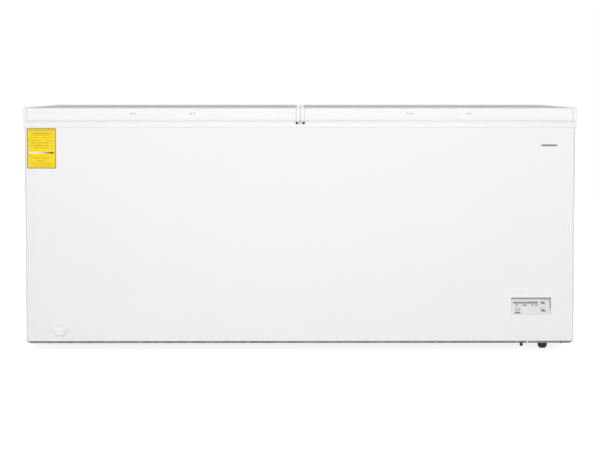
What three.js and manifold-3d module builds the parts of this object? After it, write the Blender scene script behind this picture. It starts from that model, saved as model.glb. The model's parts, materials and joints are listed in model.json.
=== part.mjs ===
// A two-lid chest freezer: a long, white, foam-insulated cabinet on casters, closed by two lids that hinge
// at the back and meet over a crossbar. The compressor sits in a bay under the right end of the store.
// Millimetres, +Z up, front face towards -Y. The origin is on the floor, at the middle of the outline.
import * as THREE from "three";
import { mergeVertices } from "three/addons/utils/BufferGeometryUtils.js";
import Module from "manifold-3d";

// ---------------------------------------------------------------- driving dimensions
const fit = 0.3; // gap between two pieces that touch

// cabinet
const bodyWidth = 1870;
const bodyDepth = 700;
const overallHeight = 840; // floor to the lids' steel tops
const panToWrap = 8; // underside of the base pan down to the lower edge of the steel wrap
const panToRail = 16; // and to the lower edge of the pan's own rails, which show under the wrap
const steel = 1; // sheet of the wrap, back and base
const cornerRadius = 9; // upright front corners
const frontReturn = 26; // how far the front sheet runs round onto each side
const railSet = 2; // wrap's inner face to the outside of the rails
const wall = 68; // outer steel to the inner face of the liner
const floorWall = 72; // base pan to the top of the liner floor
const liner = 1; // aluminium sheet of the liner

// top rim and crossbar
const rimHeight = 19;
const rimProud = 3; // rim outside the steel wrap
const rimPlate = 12; // thickness of its top
const rimBand = 2.7; // thickness of its outer band
const rimLip = 2.7; // thickness of its inner lip
const ledgeDepth = 12; // basket ledge below the inner lip
const ledgeHeight = 8;
const ledgeTop = 24; // rim top to the ledge
const crossbarWidth = 62;
const crossbarHeight = 22;
const tabWidth = 17; // the crossbar's end, which shows in the rim
const tabHeight = 7;
const pocketWidth = 31; // open pocket in the rim round the crossbar's end
const pocketDepth = 14;

// lids
const lidHeight = 42;
const lidGap = 6; // rim top to the lid's lower edge
const lidProud = 3.4; // lid beyond the body at each end
const lidProudFront = 4; // and at the front and back
const lidSplit = 2; // between the two lids
const lidSkin = 1;
const lidCornerRadius = 5;
const capWidth = 12.6; // plastic cap at each end of a lid
const capDrop = 5; // cap below the steel edge
const capRise = 0.8; // cap above the steel top
const capCornerRadius = 6;
const lidLiner = 2;
const panDrop = 12; // moulded pan that dips into the mouth of the store
const panInset = 12; // pan to the rim's inner lip
const gasketWidth = 12;
const gasketInset = 22; // lid edge to the outside of the gasket

// hinges
const hingeInset = 220; // lid end to the middle of each hinge
const hingeReach = 14; // back panel to the hinge axis
const hingeAxisUp = 2; // lid's lower edge to the hinge axis
const hingeWidth = 54;
const earThickness = 3;
const earRadius = 8;
const hingePinRadius = 3;
const hingePinPlay = 0.08;
const knuckleRadius = 6.4;
const bracketDrop = 110; // hinge axis to the foot of the bracket
const armLeafHeight = 24;
const armLeaf = 2.5;
const roundSides = 16;
const canSides = 24;

// compressor bay
const bayLength = 300;
const bayHeight = 236;
const trayThickness = 2;
const compressorRadius = 64;
const compressorHeight = 168;
const compressorFromBack = 190;
const compressorStand = 14; // rubber feet under the compressor
const feetLength = 190;
const feetWidth = 110;
const feetPlate = 3;
const pipeRadius = 3.2;
const pipeSides = 8;
const drierRadius = 10;
const drierLength = 96;

// side grille
const grilleLength = 210;
const grilleHeight = 150;
const grilleThickness = 3;
const grilleFromBack = 80;
const grilleAbovePan = 34;
const louvreCount = 9;
const louvreHeight = 6;

// controls
const bezelWidth = 154;
const bezelHeight = 76;
const bezelFromEnd = 147; // its centre
const bezelAbovePan = 111;
const bezelProud = 1.2;
const bezelFrame = 7;
const bezelRadius = 3;
const recessDepth = 14; // depth of the sloped face at its top edge
const recessShallow = 3; // and at its lower edge
const faceThickness = 2;
const windowWidth = 82;
const windowHeight = 9;
const lampRadius = 8;
const buttonWidth = 17;
const buttonHeight = 13;
const buttonTravel = 1.2;
const buttonProud = 1.6;
const buttonPlay = 0.4;
const boardDepth = 9;

// drain, label, power inlet
const drainFromEnd = 116;
const drainCapRadius = 16;
const drainCapThickness = 7;
const drainGrip = 4;
const drainTubeRadius = 9;
const drainTubeWall = 2;
const drainPlugRadius = 15;
const labelWidth = 98;
const labelHeight = 137;
const labelThickness = 0.4;
const labelFromEnd = 8.4;
const labelBelowRim = 2;
const glandRadius = 9;
const glandLength = 22;
const glandFromEnd = 60;
const glandAbovePan = 44;

// casters
const wheelRadius = 18;
const wheelWidth = 22;
const wheelSides = 32;
const axleRadius = 3;
const forkSheet = 2.5;
const forkWidth = 30;
const forkTrail = 11;
const cheekHalf = 6;
const cheekDrop = 11; // axle to the foot of each cheek
const casterPlate = 2.5;
const casterPlateSize = 58;
const crownThickness = 6;
const wheelTopClear = 3;
const swivelRadius = 17;
const swivelHeight = 4;
const kingPinRadius = 5;
const casterFromEnd = 90;
const frontRightCasterY = 92;
const frontLeftCasterY = 250;
const rearCasterFromBack = 90;

// storage basket
const basketWidth = 260;
const basketHeight = 210;
const basketWall = 3;
const basketFromEnd = 435; // its centre
const basketTaper = 14;
const basketHook = 4.5;

// evaporator tube behind the liner
const coilTurns = 3;
const coilPitch = 60;
const coilTop = 150; // rim top to the highest turn
const coilRecess = 11;
const coilRadius = 4;

// ---------------------------------------------------------------- levels and faces worked out from them
const axleZ = wheelRadius * Math.cos(Math.PI / wheelSides); // the wheels stand on one of their flats
const wheelSpace = axleZ + wheelRadius + wheelTopClear;
const panBottom = wheelSpace + crownThickness + swivelHeight + casterPlate + 2 * fit;
const wrapBottom = panBottom - panToWrap;
const railBottom = panBottom - panToRail;
const rimTop = overallHeight - lidHeight - lidGap;
const rimBottom = rimTop - rimHeight;
const foamTop = rimTop - rimPlate;
const lidBottom = overallHeight - lidHeight;
const halfBody = bodyWidth / 2;
const halfLids = halfBody + lidProud;
const cavityHalf = halfBody - wall;
const cavityFront = wall;
const cavityBack = bodyDepth - wall;
const cavityFloor = panBottom + floorWall;
const stepX = halfBody - bayLength - wall;
const bayX = halfBody - bayLength;
const bayTop = panBottom + bayHeight;
const stepTop = bayTop + wall;
const hingeY = bodyDepth + hingeReach;
const hingeZ = lidBottom + hingeAxisUp;
const drainX = -halfBody + drainFromEnd;
const drainZ = panBottom + floorWall / 2;
const bezelCentreX = halfBody - bezelFromEnd;
const bezelCentreZ = panBottom + bezelAbovePan;
const basketX = -halfBody + basketFromEnd;
const grilleFromFloor = panBottom + grilleAbovePan;
const lipInset = wall + fit + rimLip; // outer steel to the rim's inner face
const frontmost = -Math.max(lidProudFront, drainCapThickness + drainGrip);
const rearmost = hingeY + earRadius;
const tiny = 1; // a cutter runs this far past the face it opens

// ---------------------------------------------------------------- finishes
const finish = (colour, roughness, metalness) => ({ colour, roughness, metalness });
const whiteSteel = finish("#f4f4f3", 0.42, 0.2);
const whitePlastic = finish("#f1f1ef", 0.5, 0);
const galvanised = finish("#b4b7b9", 0.45, 0.8);
const stuccoAluminium = finish("#cdd0d2", 0.38, 0.9);
const foam = finish("#e6d9a8", 0.9, 0);
const softGasket = finish("#dfe1e1", 0.7, 0);
const blackPaint = finish("#1b1c1d", 0.4, 0.3);
const blackPlastic = finish("#18191a", 0.6, 0);
const greyPlastic = finish("#d8d9d8", 0.5, 0);
const darkWindow = finish("#8d9192", 0.25, 0);
const smokedLens = finish("#8f8f8c", 0.3, 0);
const boardGreen = finish("#2f6b45", 0.6, 0);
const zincSteel = finish("#a9adb0", 0.35, 0.9);
const copper = finish("#b5713f", 0.35, 0.9);
const labelYellow = finish("#f2d22b", 0.6, 0);
const tyreGrey = finish("#26282a", 0.8, 0);
const whiteWire = finish("#eceeee", 0.45, 0.1);

// ---------------------------------------------------------------- shapes
const wasm = await Module();
wasm.setup();

// A closed geometry as a solid that can be joined and cut.
function solid(geometry) {
  if (geometry instanceof wasm.Manifold) return geometry;
  const bare = geometry.clone();
  bare.deleteAttribute("normal");
  bare.deleteAttribute("uv");
  const welded = mergeVertices(bare, 1e-4);
  const vertProperties = new Float32Array(welded.attributes.position.array);
  const triVerts = new Uint32Array(welded.index.array);
  return new wasm.Manifold(new wasm.Mesh({ numProp: 3, vertProperties, triVerts }));
}

const join = (...pieces) => pieces.map(solid).reduce((a, b) => a.add(b));
const cut = (body, ...tools) => tools.map(solid).reduce((a, b) => a.subtract(b), solid(body));

function toGeometry(body) {
  if (!(body instanceof wasm.Manifold)) return body;
  const { vertProperties, triVerts } = body.getMesh();
  const geometry = new THREE.BufferGeometry();
  geometry.setAttribute("position", new THREE.BufferAttribute(new Float32Array(vertProperties), 3));
  geometry.setIndex(new THREE.BufferAttribute(new Uint32Array(triVerts), 1));
  geometry.computeVertexNormals();
  return geometry;
}

// A box between two corners.
function block([x0, y0, z0], [x1, y1, z1]) {
  const geometry = new THREE.BoxGeometry(x1 - x0, y1 - y0, z1 - z0);
  return geometry.translate((x0 + x1) / 2, (y0 + y1) / 2, (z0 + z1) / 2);
}

function outline(points) {
  return new THREE.Shape(points.map(([a, b]) => new THREE.Vector2(a, b)));
}

// A rectangle whose four corners, counted from the lower left anticlockwise, have their own radii.
function rounded(x0, y0, x1, y1, radii) {
  const [a, b, c, d] = radii;
  const shape = new THREE.Shape();
  shape.moveTo(x0 + a, y0);
  shape.lineTo(x1 - b, y0);
  if (b) shape.absarc(x1 - b, y0 + b, b, -Math.PI / 2, 0, false);
  shape.lineTo(x1, y1 - c);
  if (c) shape.absarc(x1 - c, y1 - c, c, 0, Math.PI / 2, false);
  shape.lineTo(x0 + d, y1);
  if (d) shape.absarc(x0 + d, y1 - d, d, Math.PI / 2, Math.PI, false);
  shape.lineTo(x0, y0 + a);
  if (a) shape.absarc(x0 + a, y0 + a, a, Math.PI, 1.5 * Math.PI, false);
  return shape;
}

const same = (radius) => [radius, radius, radius, radius];
const extrude = (shape, depth, curveSegments = 2) =>
  new THREE.ExtrudeGeometry(shape, { depth, bevelEnabled: false, curveSegments });

// Each of these lays a shape in one plane and draws it out along the third axis.
const alongZ = (shape, from, to, segments) => extrude(shape, to - from, segments).translate(0, 0, from);

function alongX(shape, from, to, segments) {
  const turn = new THREE.Matrix4().makeBasis(
    new THREE.Vector3(0, 1, 0), new THREE.Vector3(0, 0, 1), new THREE.Vector3(1, 0, 0));
  return extrude(shape, to - from, segments).applyMatrix4(turn).translate(from, 0, 0);
}

function alongY(shape, from, to, segments) {
  const turn = new THREE.Matrix4().makeBasis(
    new THREE.Vector3(1, 0, 0), new THREE.Vector3(0, 0, 1), new THREE.Vector3(0, -1, 0));
  return extrude(shape, to - from, segments).applyMatrix4(turn).translate(0, to, 0);
}

// A round bar along an axis, its radius measured to the corners of its sides.
function bar(axis, centre, radius, length, sides = roundSides) {
  const geometry = new THREE.CylinderGeometry(radius, radius, length, sides);
  if (axis === "x") geometry.rotateZ(Math.PI / 2);
  if (axis === "z") geometry.rotateX(Math.PI / 2);
  return geometry.translate(...centre);
}

// A turned piece about the upright axis, from [radius, height] points that start and end on the axis.
function turned(points, sides = roundSides) {
  const profile = points.map(([radius, height]) => new THREE.Vector2(radius, height));
  return new THREE.LatheGeometry(profile, sides).rotateX(Math.PI / 2);
}

// A bent tube: straight runs with a ball at each bend.
function pipe(points, radius, sides = pipeSides) {
  const up = new THREE.Vector3(0, 1, 0);
  const pieces = [];
  points.slice(1).forEach((to, i) => {
    const start = new THREE.Vector3(...points[i]);
    const end = new THREE.Vector3(...to);
    const run = new THREE.CylinderGeometry(radius, radius, start.distanceTo(end), sides);
    const turn = new THREE.Quaternion().setFromUnitVectors(up, end.clone().sub(start).normalize());
    run.applyQuaternion(turn);
    const middle = start.clone().add(end).multiplyScalar(0.5);
    pieces.push(run.translate(middle.x, middle.y, middle.z));
    if (i < points.length - 2) {
      pieces.push(new THREE.SphereGeometry(radius, sides, sides / 2).translate(end.x, end.y, end.z));
    }
  });
  return join(...pieces);
}

// ---------------------------------------------------------------- the assembly
const freezer = new THREE.Group();
freezer.name = "chest_freezer";
freezer.position.y = -(frontmost + rearmost) / 2;

function add(name, body, { colour, roughness, metalness }) {
  const material = new THREE.MeshStandardMaterial({ color: colour, roughness, metalness });
  const mesh = new THREE.Mesh(toGeometry(body), material);
  mesh.name = name;
  freezer.add(mesh);
  return mesh;
}

// ---------------------------------------------------------------- cabinet sheets
const wrapTop = foamTop;

// The front sheet turns both upright corners.
function frontPanel() {
  const outer = rounded(-halfBody, 0, halfBody, frontReturn, [cornerRadius, cornerRadius, 0, 0]);
  const inner = rounded(-halfBody + steel, steel, halfBody - steel, frontReturn + tiny,
    [cornerRadius - steel, cornerRadius - steel, 0, 0]);
  const sheet = cut(alongZ(outer, wrapBottom, wrapTop), alongZ(inner, wrapBottom - tiny, wrapTop + tiny));
  const holeX = bezelWidth / 2 - bezelFrame + fit;
  const holeZ = bezelHeight / 2 - bezelFrame + fit;
  const controlHole = block([bezelCentreX - holeX, -tiny, bezelCentreZ - holeZ],
    [bezelCentreX + holeX, 2 * steel, bezelCentreZ + holeZ]);
  const drainHole = bar("y", [drainX, 0, drainZ], drainTubeRadius + fit, 4 * steel);
  return cut(sheet, controlHole, drainHole);
}

const grilleBack = bodyDepth - grilleFromBack;
const grilleFront = grilleBack - grilleLength;
const grilleTop = grilleFromFloor + grilleHeight;
const grilleLap = 8; // grille over the edge of its hole

// A side sheet; side is -1 for the left and 1 for the right, where the bay's grille needs a hole.
function sidePanel(side) {
  const outside = side * halfBody;
  const inside = side * (halfBody - steel);
  const [x0, x1] = side < 0 ? [outside, inside] : [inside, outside];
  const sheet = block([x0, frontReturn + fit, wrapBottom], [x1, bodyDepth, wrapTop]);
  if (side < 0) return sheet;
  return cut(sheet, block([x0 - tiny, grilleFront + grilleLap, grilleFromFloor + grilleLap],
    [x1 + tiny, grilleBack - grilleLap, grilleTop - grilleLap]));
}

const innerHalf = halfBody - steel - fit; // half the width inside the side sheets
const backLouvres = 8;
const backLouvrePitch = 20;
const glandX = halfBody - glandFromEnd;
const glandZ = panBottom + glandAbovePan;

function backPanel() {
  const sheet = block([-innerHalf, bodyDepth - steel, panBottom], [innerHalf, bodyDepth, wrapTop]);
  const slots = Array.from({ length: backLouvres }, (_, i) => {
    const z = panBottom + 80 + i * backLouvrePitch;
    return block([bayX + 40, bodyDepth - 2 * steel, z], [innerHalf - 70, bodyDepth + tiny, z + louvreHeight]);
  });
  return cut(sheet, ...slots, bar("y", [glandX, bodyDepth, glandZ], glandRadius + fit, 4 * steel));
}

const panFront = steel + railSet;
const panBack = bodyDepth - steel - railSet;
const panHalf = halfBody - steel - railSet;
const ribCount = 9;
const ribWidth = 24;
const ribDrop = 3;
const ribMargin = 40;

// Cutters that clear the wrap's rounded upright corners.
function cornerRelief() {
  return [-1, 1].map((side) => {
    const x = side * innerHalf;
    const inner = x - side * cornerRadius;
    return block([Math.min(x, inner) - fit, 0, 0],
      [Math.max(x, inner) + fit, steel + fit + cornerRadius, overallHeight]);
  });
}

// The base pan is a shallow tray, upside down, pressed with ribs across it.
function basePan() {
  const sheet = block([-panHalf, panFront, railBottom], [bayX - fit, panBack, panBottom + steel]);
  const under = block([-panHalf + steel, panFront + steel, railBottom - tiny],
    [bayX + tiny, panBack - steel, panBottom]);
  const ribsFrom = -halfBody + casterFromEnd + casterPlateSize / 2;
  const pitch = (bayX - ribsFrom) / (ribCount + 1);
  const ribs = Array.from({ length: ribCount }, (_, i) => {
    const x = ribsFrom + (i + 1) * pitch;
    return block([x - ribWidth / 2, ribMargin, panBottom - ribDrop],
      [x + ribWidth / 2, bodyDepth - ribMargin, panBottom + steel / 2]);
  });
  return cut(join(cut(sheet, under), ...ribs), ...cornerRelief());
}

add("front_panel", frontPanel(), whiteSteel);
add("left_side_panel", sidePanel(-1), whiteSteel);
add("right_side_panel", sidePanel(1), whiteSteel);
add("back_panel", backPanel(), whiteSteel);
add("base_pan", basePan(), galvanised);

// ---------------------------------------------------------------- insulation and liner
// The store's outline seen from the front, grown outwards by a margin; its floor steps up over the bay.
function storeOutline(margin, top) {
  return outline([
    [-cavityHalf - margin, cavityFloor - margin],
    [stepX + margin, cavityFloor - margin],
    [stepX + margin, stepTop - margin],
    [cavityHalf + margin, stepTop - margin],
    [cavityHalf + margin, top],
    [-cavityHalf - margin, top],
  ]);
}

const recessTop = rimTop - coilTop + coilRadius + fit + 6;
const recessBottom = rimTop - coilTop - coilTurns * coilPitch - coilRadius - fit - 6;
const foamFloor = panBottom + steel + fit;

function cabinetFoam() {
  const front = steel + fit;
  const back = bodyDepth - steel - fit;
  const outer = outline([
    [-innerHalf, foamFloor], [bayX, foamFloor], [bayX, bayTop], [innerHalf, bayTop],
    [innerHalf, foamTop - fit], [-innerHalf, foamTop - fit],
  ]);
  const skinClear = liner + fit;
  const store = alongY(storeOutline(skinClear, foamTop + tiny), cavityFront - skinClear,
    cavityBack + skinClear);
  const grown = skinClear + coilRecess;
  const band = block([-cavityHalf - grown, cavityFront - grown, recessBottom],
    [cavityHalf + grown, cavityBack + grown, recessTop]);
  const drainRadius = drainTubeRadius + fit;
  const drain = bar("y", [drainX, 0, drainZ], drainRadius, 2 * (drainElbowY + drainRadius));
  const drainDrop = bar("z", [drainX, drainElbowY, cavityFloor], drainRadius, 2 * (cavityFloor - drainZ));
  return cut(alongY(outer, front, back), store, band, ...cornerRelief(), drain, drainDrop);
}

const drainElbowY = cavityFront + 60;

// The liner is a folded sheet box with a stepped floor and a drain hole.
function innerLiner() {
  const top = rimTop - fit - 4;
  const lip = foamTop - fit;
  const outer = alongY(storeOutline(liner, Math.min(top, lip)), cavityFront - liner, cavityBack + liner);
  const inner = alongY(storeOutline(0, top + tiny), cavityFront, cavityBack);
  return cut(outer, inner, bar("z", [drainX, drainElbowY, cavityFloor], drainTubeRadius + fit, 8 * liner));
}

add("cabinet_foam", cabinetFoam(), foam);
add("inner_liner", innerLiner(), stuccoAluminium);

// One tube wound round the outside of the liner, in the recess in the foam.
function evaporatorCoil() {
  const off = liner + fit + coilRadius;
  const x = cavityHalf + off;
  const front = cavityFront - off;
  const back = cavityBack + off;
  const corners = [[-x, front], [x, front], [x, back], [-x, back]];
  const points = [];
  for (let i = 0; i <= coilTurns * corners.length; i += 1) {
    const [px, py] = corners[i % corners.length];
    points.push([px, py, rimTop - coilTop - (i * coilPitch) / corners.length]);
  }
  return pipe(points, coilRadius, 6);
}

add("evaporator_coil", evaporatorCoil(), stuccoAluminium);

// ---------------------------------------------------------------- rim and crossbar
// A box over the cabinet's plan, its sides moved in by an inset (out where it is negative).
function planBlock(insetX, insetY, from, to) {
  return block([-halfBody + insetX, insetY, from], [halfBody - insetX, bodyDepth - insetY, to]);
}

// The rim is a moulded channel over the top of the wall: an outer band over the steel, a thick top, and an
// inner lip over the liner with a ledge along its front and back for the basket.
function rimFrame() {
  const ledgeLevel = rimTop - ledgeTop;
  const underside = ledgeLevel - ledgeHeight;
  const lipOuter = wall + fit;
  const ledgeInset = lipOuter + ledgeDepth;
  const bandInner = rimBand - rimProud;
  const mouth = planBlock(lipInset, lipInset, ledgeLevel, rimTop + tiny);
  const mouthBelow = planBlock(lipInset, ledgeInset, underside - tiny, ledgeLevel + tiny);
  const channel = cut(planBlock(bandInner, bandInner, underside - tiny, foamTop + fit),
    planBlock(lipOuter, lipOuter, underside - 2 * tiny, rimTop));
  const underBand = cut(planBlock(-2 * rimProud, -2 * rimProud, underside - tiny, rimBottom),
    planBlock(lipOuter, lipOuter, underside - 2 * tiny, rimTop));
  const seatBottom = rimTop - tabHeight - fit;
  const pocket = (half, y0, y1) => block([-half, y0, seatBottom], [half, y1, rimTop + tiny]);
  const seatHalf = tabWidth / 2 + fit;
  const pocketHalf = pocketWidth / 2;
  return cut(planBlock(-rimProud, -rimProud, underside, rimTop), mouth, mouthBelow, channel, underBand,
    pocket(seatHalf, pocketDepth - tiny, lipInset + tiny),
    pocket(seatHalf, bodyDepth - lipInset - tiny, bodyDepth - pocketDepth + tiny),
    pocket(pocketHalf, -rimProud - tiny, pocketDepth),
    pocket(pocketHalf, bodyDepth - pocketDepth, bodyDepth + rimProud + tiny));
}

function centreCrossbar() {
  const inner = lipInset + fit;
  const beam = block([-crossbarWidth / 2, inner, rimTop - crossbarHeight],
    [crossbarWidth / 2, bodyDepth - inner, rimTop]);
  const edge = 3; // chamfer on the lower corners of each end
  const tab = alongY(outline([
    [-tabWidth / 2 + edge, rimTop - tabHeight], [tabWidth / 2 - edge, rimTop - tabHeight],
    [tabWidth / 2, rimTop - tabHeight + edge], [tabWidth / 2, rimTop],
    [-tabWidth / 2, rimTop], [-tabWidth / 2, rimTop - tabHeight + edge],
  ]), -rimProud + fit, bodyDepth + rimProud - fit);
  return join(beam, tab);
}

add("rim_frame", rimFrame(), whitePlastic);
add("centre_crossbar", centreCrossbar(), greyPlastic);

// ---------------------------------------------------------------- lids
const lidFront = -lidProudFront;
const lidBack = bodyDepth + lidProudFront;
const hingeX = (x0, x1) => [x0 + hingeInset, x1 - hingeInset];

function addLid(side, x0, x1) {
  const steelFrom = x0 + capWidth + fit;
  const steelTo = x1 - capWidth - fit;
  const radii = [0, 0, lidCornerRadius, lidCornerRadius];
  const skin = cut(
    alongX(rounded(lidFront, lidBottom, lidBack, overallHeight, radii), steelFrom, steelTo),
    alongX(rounded(lidFront + lidSkin, lidBottom - tiny, lidBack - lidSkin, overallHeight - lidSkin,
      [0, 0, lidCornerRadius - lidSkin, lidCornerRadius - lidSkin]), steelFrom - tiny, steelTo + tiny));
  add(`${side}_lid_skin`, skin, whiteSteel);

  // The end caps close the steel channel and hang a little lower than it.
  const capRadii = [2, 2, capCornerRadius, capCornerRadius];
  const capShape = rounded(lidFront, lidBottom - capDrop, lidBack, overallHeight + capRise, capRadii);
  const ends = { left: alongX(capShape, x0, x0 + capWidth), right: alongX(capShape, x1 - capWidth, x1) };
  const outerEnd = side;
  const innerEnd = side === "left" ? "right" : "left";
  add(`${side}_lid_outer_cap`, ends[outerEnd], whitePlastic);
  add(`${side}_lid_inner_cap`, ends[innerEnd], whitePlastic);

  // The inner liner is a flat border with a pan that dips into the mouth of the store.
  const innerFront = lidFront + lidSkin + fit;
  const innerBack = lidBack - lidSkin - fit;
  const mouthFrom = side === "left" ? -halfBody + lipInset : crossbarWidth / 2;
  const mouthTo = side === "left" ? -crossbarWidth / 2 : halfBody - lipInset;
  const panLow = [mouthFrom + panInset, lipInset + panInset, lidBottom - panDrop];
  const panHigh = [mouthTo - panInset, bodyDepth - lipInset - panInset, lidBottom + tiny];
  const shrink = ([x, y, z], by) => [x + by, y + by, z + lidLiner];
  const hollowLow = shrink(panLow, lidLiner);
  const hollowHigh = [panHigh[0] - lidLiner, panHigh[1] - lidLiner, lidBottom + lidLiner + tiny];
  const border = block([steelFrom, innerFront, lidBottom], [steelTo, innerBack, lidBottom + lidLiner]);
  add(`${side}_lid_liner`, cut(join(border, block(panLow, panHigh)), block(hollowLow, hollowHigh)),
    whitePlastic);

  const fillLow = hollowLow.map((value) => value + fit);
  const fillHigh = [hollowHigh[0] - fit, hollowHigh[1] - fit, lidBottom + lidLiner + tiny];
  const slab = block([steelFrom, innerFront + lidCornerRadius, lidBottom + lidLiner + fit],
    [steelTo, innerBack - lidCornerRadius, overallHeight - lidSkin - fit]);
  add(`${side}_lid_foam`, join(slab, block(fillLow, fillHigh)), foam);

  // The gasket runs round the liner's border and seals on the rim and the crossbar.
  const outerX = side === "left" ? x0 + gasketInset : x1 - gasketInset;
  const innerX = side === "left" ? x1 - capWidth - fit : x0 + capWidth + fit;
  const [g0, g1] = [Math.min(outerX, innerX), Math.max(outerX, innerX)];
  const y0 = lidFront + gasketInset;
  const y1 = lidBack - gasketInset;
  const low = rimTop + fit;
  const high = lidBottom - fit;
  const ring = cut(block([g0, y0, low], [g1, y1, high]),
    block([g0 + gasketWidth, y0 + gasketWidth, low - tiny], [g1 - gasketWidth, y1 - gasketWidth, high + tiny]));
  add(`${side}_lid_gasket`, ring, softGasket);

  hingeX(x0, x1).forEach((x, i) => addHinge(side, i + 1, x));
}

// A hinge: a bracket with two ears and a riveted pin on the cabinet's back, and an arm on the lid.
function addHinge(side, number, x) {
  const half = hingeWidth / 2;
  const foot = hingeZ - bracketDrop;
  const plateFace = bodyDepth + fit;
  const earFace = hingeY - earRadius;
  const plate = block([x - half, plateFace, foot], [x + half, plateFace + earThickness, rimBottom - fit]);
  const clearRim = bodyDepth + rimProud + fit;
  const ear = new THREE.Shape();
  ear.moveTo(plateFace, foot);
  ear.lineTo(hingeY - earRadius / 2, foot);
  ear.lineTo(hingeY + earRadius, foot + bracketDrop / 2);
  ear.lineTo(hingeY + earRadius, hingeZ);
  ear.absarc(hingeY, hingeZ, earRadius, 0, Math.PI, false);
  ear.lineTo(Math.max(earFace, clearRim), rimBottom - fit);
  ear.lineTo(plateFace, rimBottom - fit);
  const ears = [x - half, x + half - earThickness].map((from) => alongX(ear, from, from + earThickness, 5));
  const rivet = 2; // rivet head outside each ear
  const pin = bar("x", [x, hingeY, hingeZ], hingePinRadius, hingeWidth + 2 * rivet);
  add(`${side}_hinge_bracket_${number}`, join(plate, ...ears, pin), zincSteel);

  const side0 = x - half + earThickness + fit;
  const side1 = x + half - earThickness - fit;
  const leafFace = lidBack + fit;
  const boreRadius = (hingePinRadius + hingePinPlay) / Math.cos(Math.PI / roundSides);
  const knuckle = bar("x", [x, hingeY, hingeZ], knuckleRadius, side1 - side0);
  const web = block([side0, leafFace, hingeZ], [side1, hingeY, hingeZ + knuckleRadius * 0.8]);
  const leafTop = hingeZ + armLeafHeight + earRadius;
  const leaf = block([side0, leafFace, hingeZ], [side1, leafFace + armLeaf, leafTop]);
  const arm = cut(join(knuckle, web, leaf),
    bar("x", [x, hingeY, hingeZ], boreRadius, hingeWidth * 2));
  add(`${side}_hinge_arm_${number}`, arm, zincSteel);
}

addLid("left", -halfLids, -lidSplit / 2);
addLid("right", lidSplit / 2, halfLids);

// ---------------------------------------------------------------- compressor bay
const trayTop = panBottom + trayThickness;
const compressorX = bayX + bayLength / 2;
const compressorY = bodyDepth - compressorFromBack;

// The tray carries on the base pan's line, with the same rails, under the compressor.
function compressorTray() {
  const sheet = block([bayX + fit, panFront, railBottom], [panHalf, panBack, trayTop]);
  const under = block([bayX - tiny, panFront + trayThickness, railBottom - tiny],
    [panHalf - trayThickness, panBack - trayThickness, panBottom]);
  return cut(sheet, under, ...cornerRelief());
}

// A welded can on a plate with four rubber feet.
function compressor() {
  const base = trayTop + fit;
  const plateZ = base + compressorStand;
  const r = compressorRadius;
  const h = compressorHeight;
  const can = turned([
    [0, 0], [r * 0.62, 0], [r * 0.9, h * 0.1], [r, h * 0.26], [r, h * 0.44], [r * 1.04, h * 0.45],
    [r * 1.04, h * 0.48], [r, h * 0.49], [r, h * 0.72], [r * 0.88, h * 0.9], [r * 0.55, h], [0, h],
  ], canSides).translate(compressorX, compressorY, plateZ + 1);
  const plate = alongZ(rounded(compressorX - feetLength / 2, compressorY - feetWidth / 2,
    compressorX + feetLength / 2, compressorY + feetWidth / 2, same(14)), plateZ, plateZ + feetPlate);
  const reachX = feetLength / 2 - 18;
  const reachY = feetWidth / 2 - 18;
  const feet = [[-1, -1], [1, -1], [1, 1], [-1, 1]].map(([sx, sy]) =>
    bar("z", [compressorX + sx * reachX, compressorY + sy * reachY, base + compressorStand / 2 + 1],
      11, compressorStand + 2, 12));
  return join(can, plate, ...feet);
}

const canZ = trayTop + fit + compressorStand;
const starterFace = compressorY - compressorRadius * 1.04 - fit;
const drierX = bayX + 34;
const drierY = compressorY - 150;

function starterBox() {
  const half = 26;
  const depth = 34;
  return alongZ(rounded(compressorX - half, starterFace - depth, compressorX + half, starterFace,
    [5, 5, 2, 2]), canZ + 46, canZ + 112);
}

// The hot line runs from the can to the drier, and the cold line from the wall of the store back to it.
function dischargePipe() {
  const z = canZ + compressorHeight * 0.6;
  const reach = compressorRadius + fit;
  return pipe([
    [compressorX - reach, compressorY, z], [drierX, compressorY, z],
    [drierX, compressorY, canZ + 60], [drierX, drierY + drierLength / 2 + fit, canZ + 60],
  ], pipeRadius);
}

function filterDrier() {
  const half = drierLength / 2;
  const neck = pipeRadius + 1;
  return turned([
    [0, -half], [neck, -half], [neck, -half + 8], [drierRadius, -half + 18],
    [drierRadius, half - 18], [neck, half - 8], [neck, half], [0, half],
  ], 12).rotateX(Math.PI / 2).translate(drierX, drierY, canZ + 60);
}

function suctionPipe() {
  const reach = compressorRadius + fit;
  const z = canZ + compressorHeight * 0.6;
  const wallX = bayX + fit + pipeRadius + 1;
  return pipe([
    [compressorX, compressorY + reach, z], [compressorX, compressorY + reach + 26, z],
    [compressorX, compressorY + reach + 26, bayTop - 20],
    [wallX, compressorY + reach + 26, bayTop - 20], [wallX, compressorY + reach + 26, bayTop - fit],
  ], pipeRadius);
}

add("compressor_tray", compressorTray(), galvanised);
add("compressor", compressor(), blackPaint);
add("starter_box", starterBox(), blackPlastic);
add("discharge_pipe", dischargePipe(), copper);
add("filter_drier", filterDrier(), copper);
add("suction_pipe", suctionPipe(), copper);

// The grille covers a hole in the right side sheet.
function sideGrille() {
  const face = halfBody + fit;
  const plate = block([face, grilleFront, grilleFromFloor], [face + grilleThickness, grilleBack, grilleTop]);
  const spigot = block([halfBody - steel, grilleFront + grilleLap + fit, grilleFromFloor + grilleLap + fit],
    [face + tiny, grilleBack - grilleLap - fit, grilleTop - grilleLap - fit]);
  const margin = 2 * grilleLap;
  const pitch = (grilleHeight - 2 * margin) / louvreCount;
  const slots = Array.from({ length: louvreCount }, (_, i) => {
    const z = grilleFromFloor + margin + (i + 0.5) * pitch - louvreHeight / 2;
    return block([halfBody - 2 * steel, grilleFront + margin, z],
      [face + grilleThickness + tiny, grilleBack - margin, z + louvreHeight]);
  });
  return cut(join(plate, spigot), ...slots);
}

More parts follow.
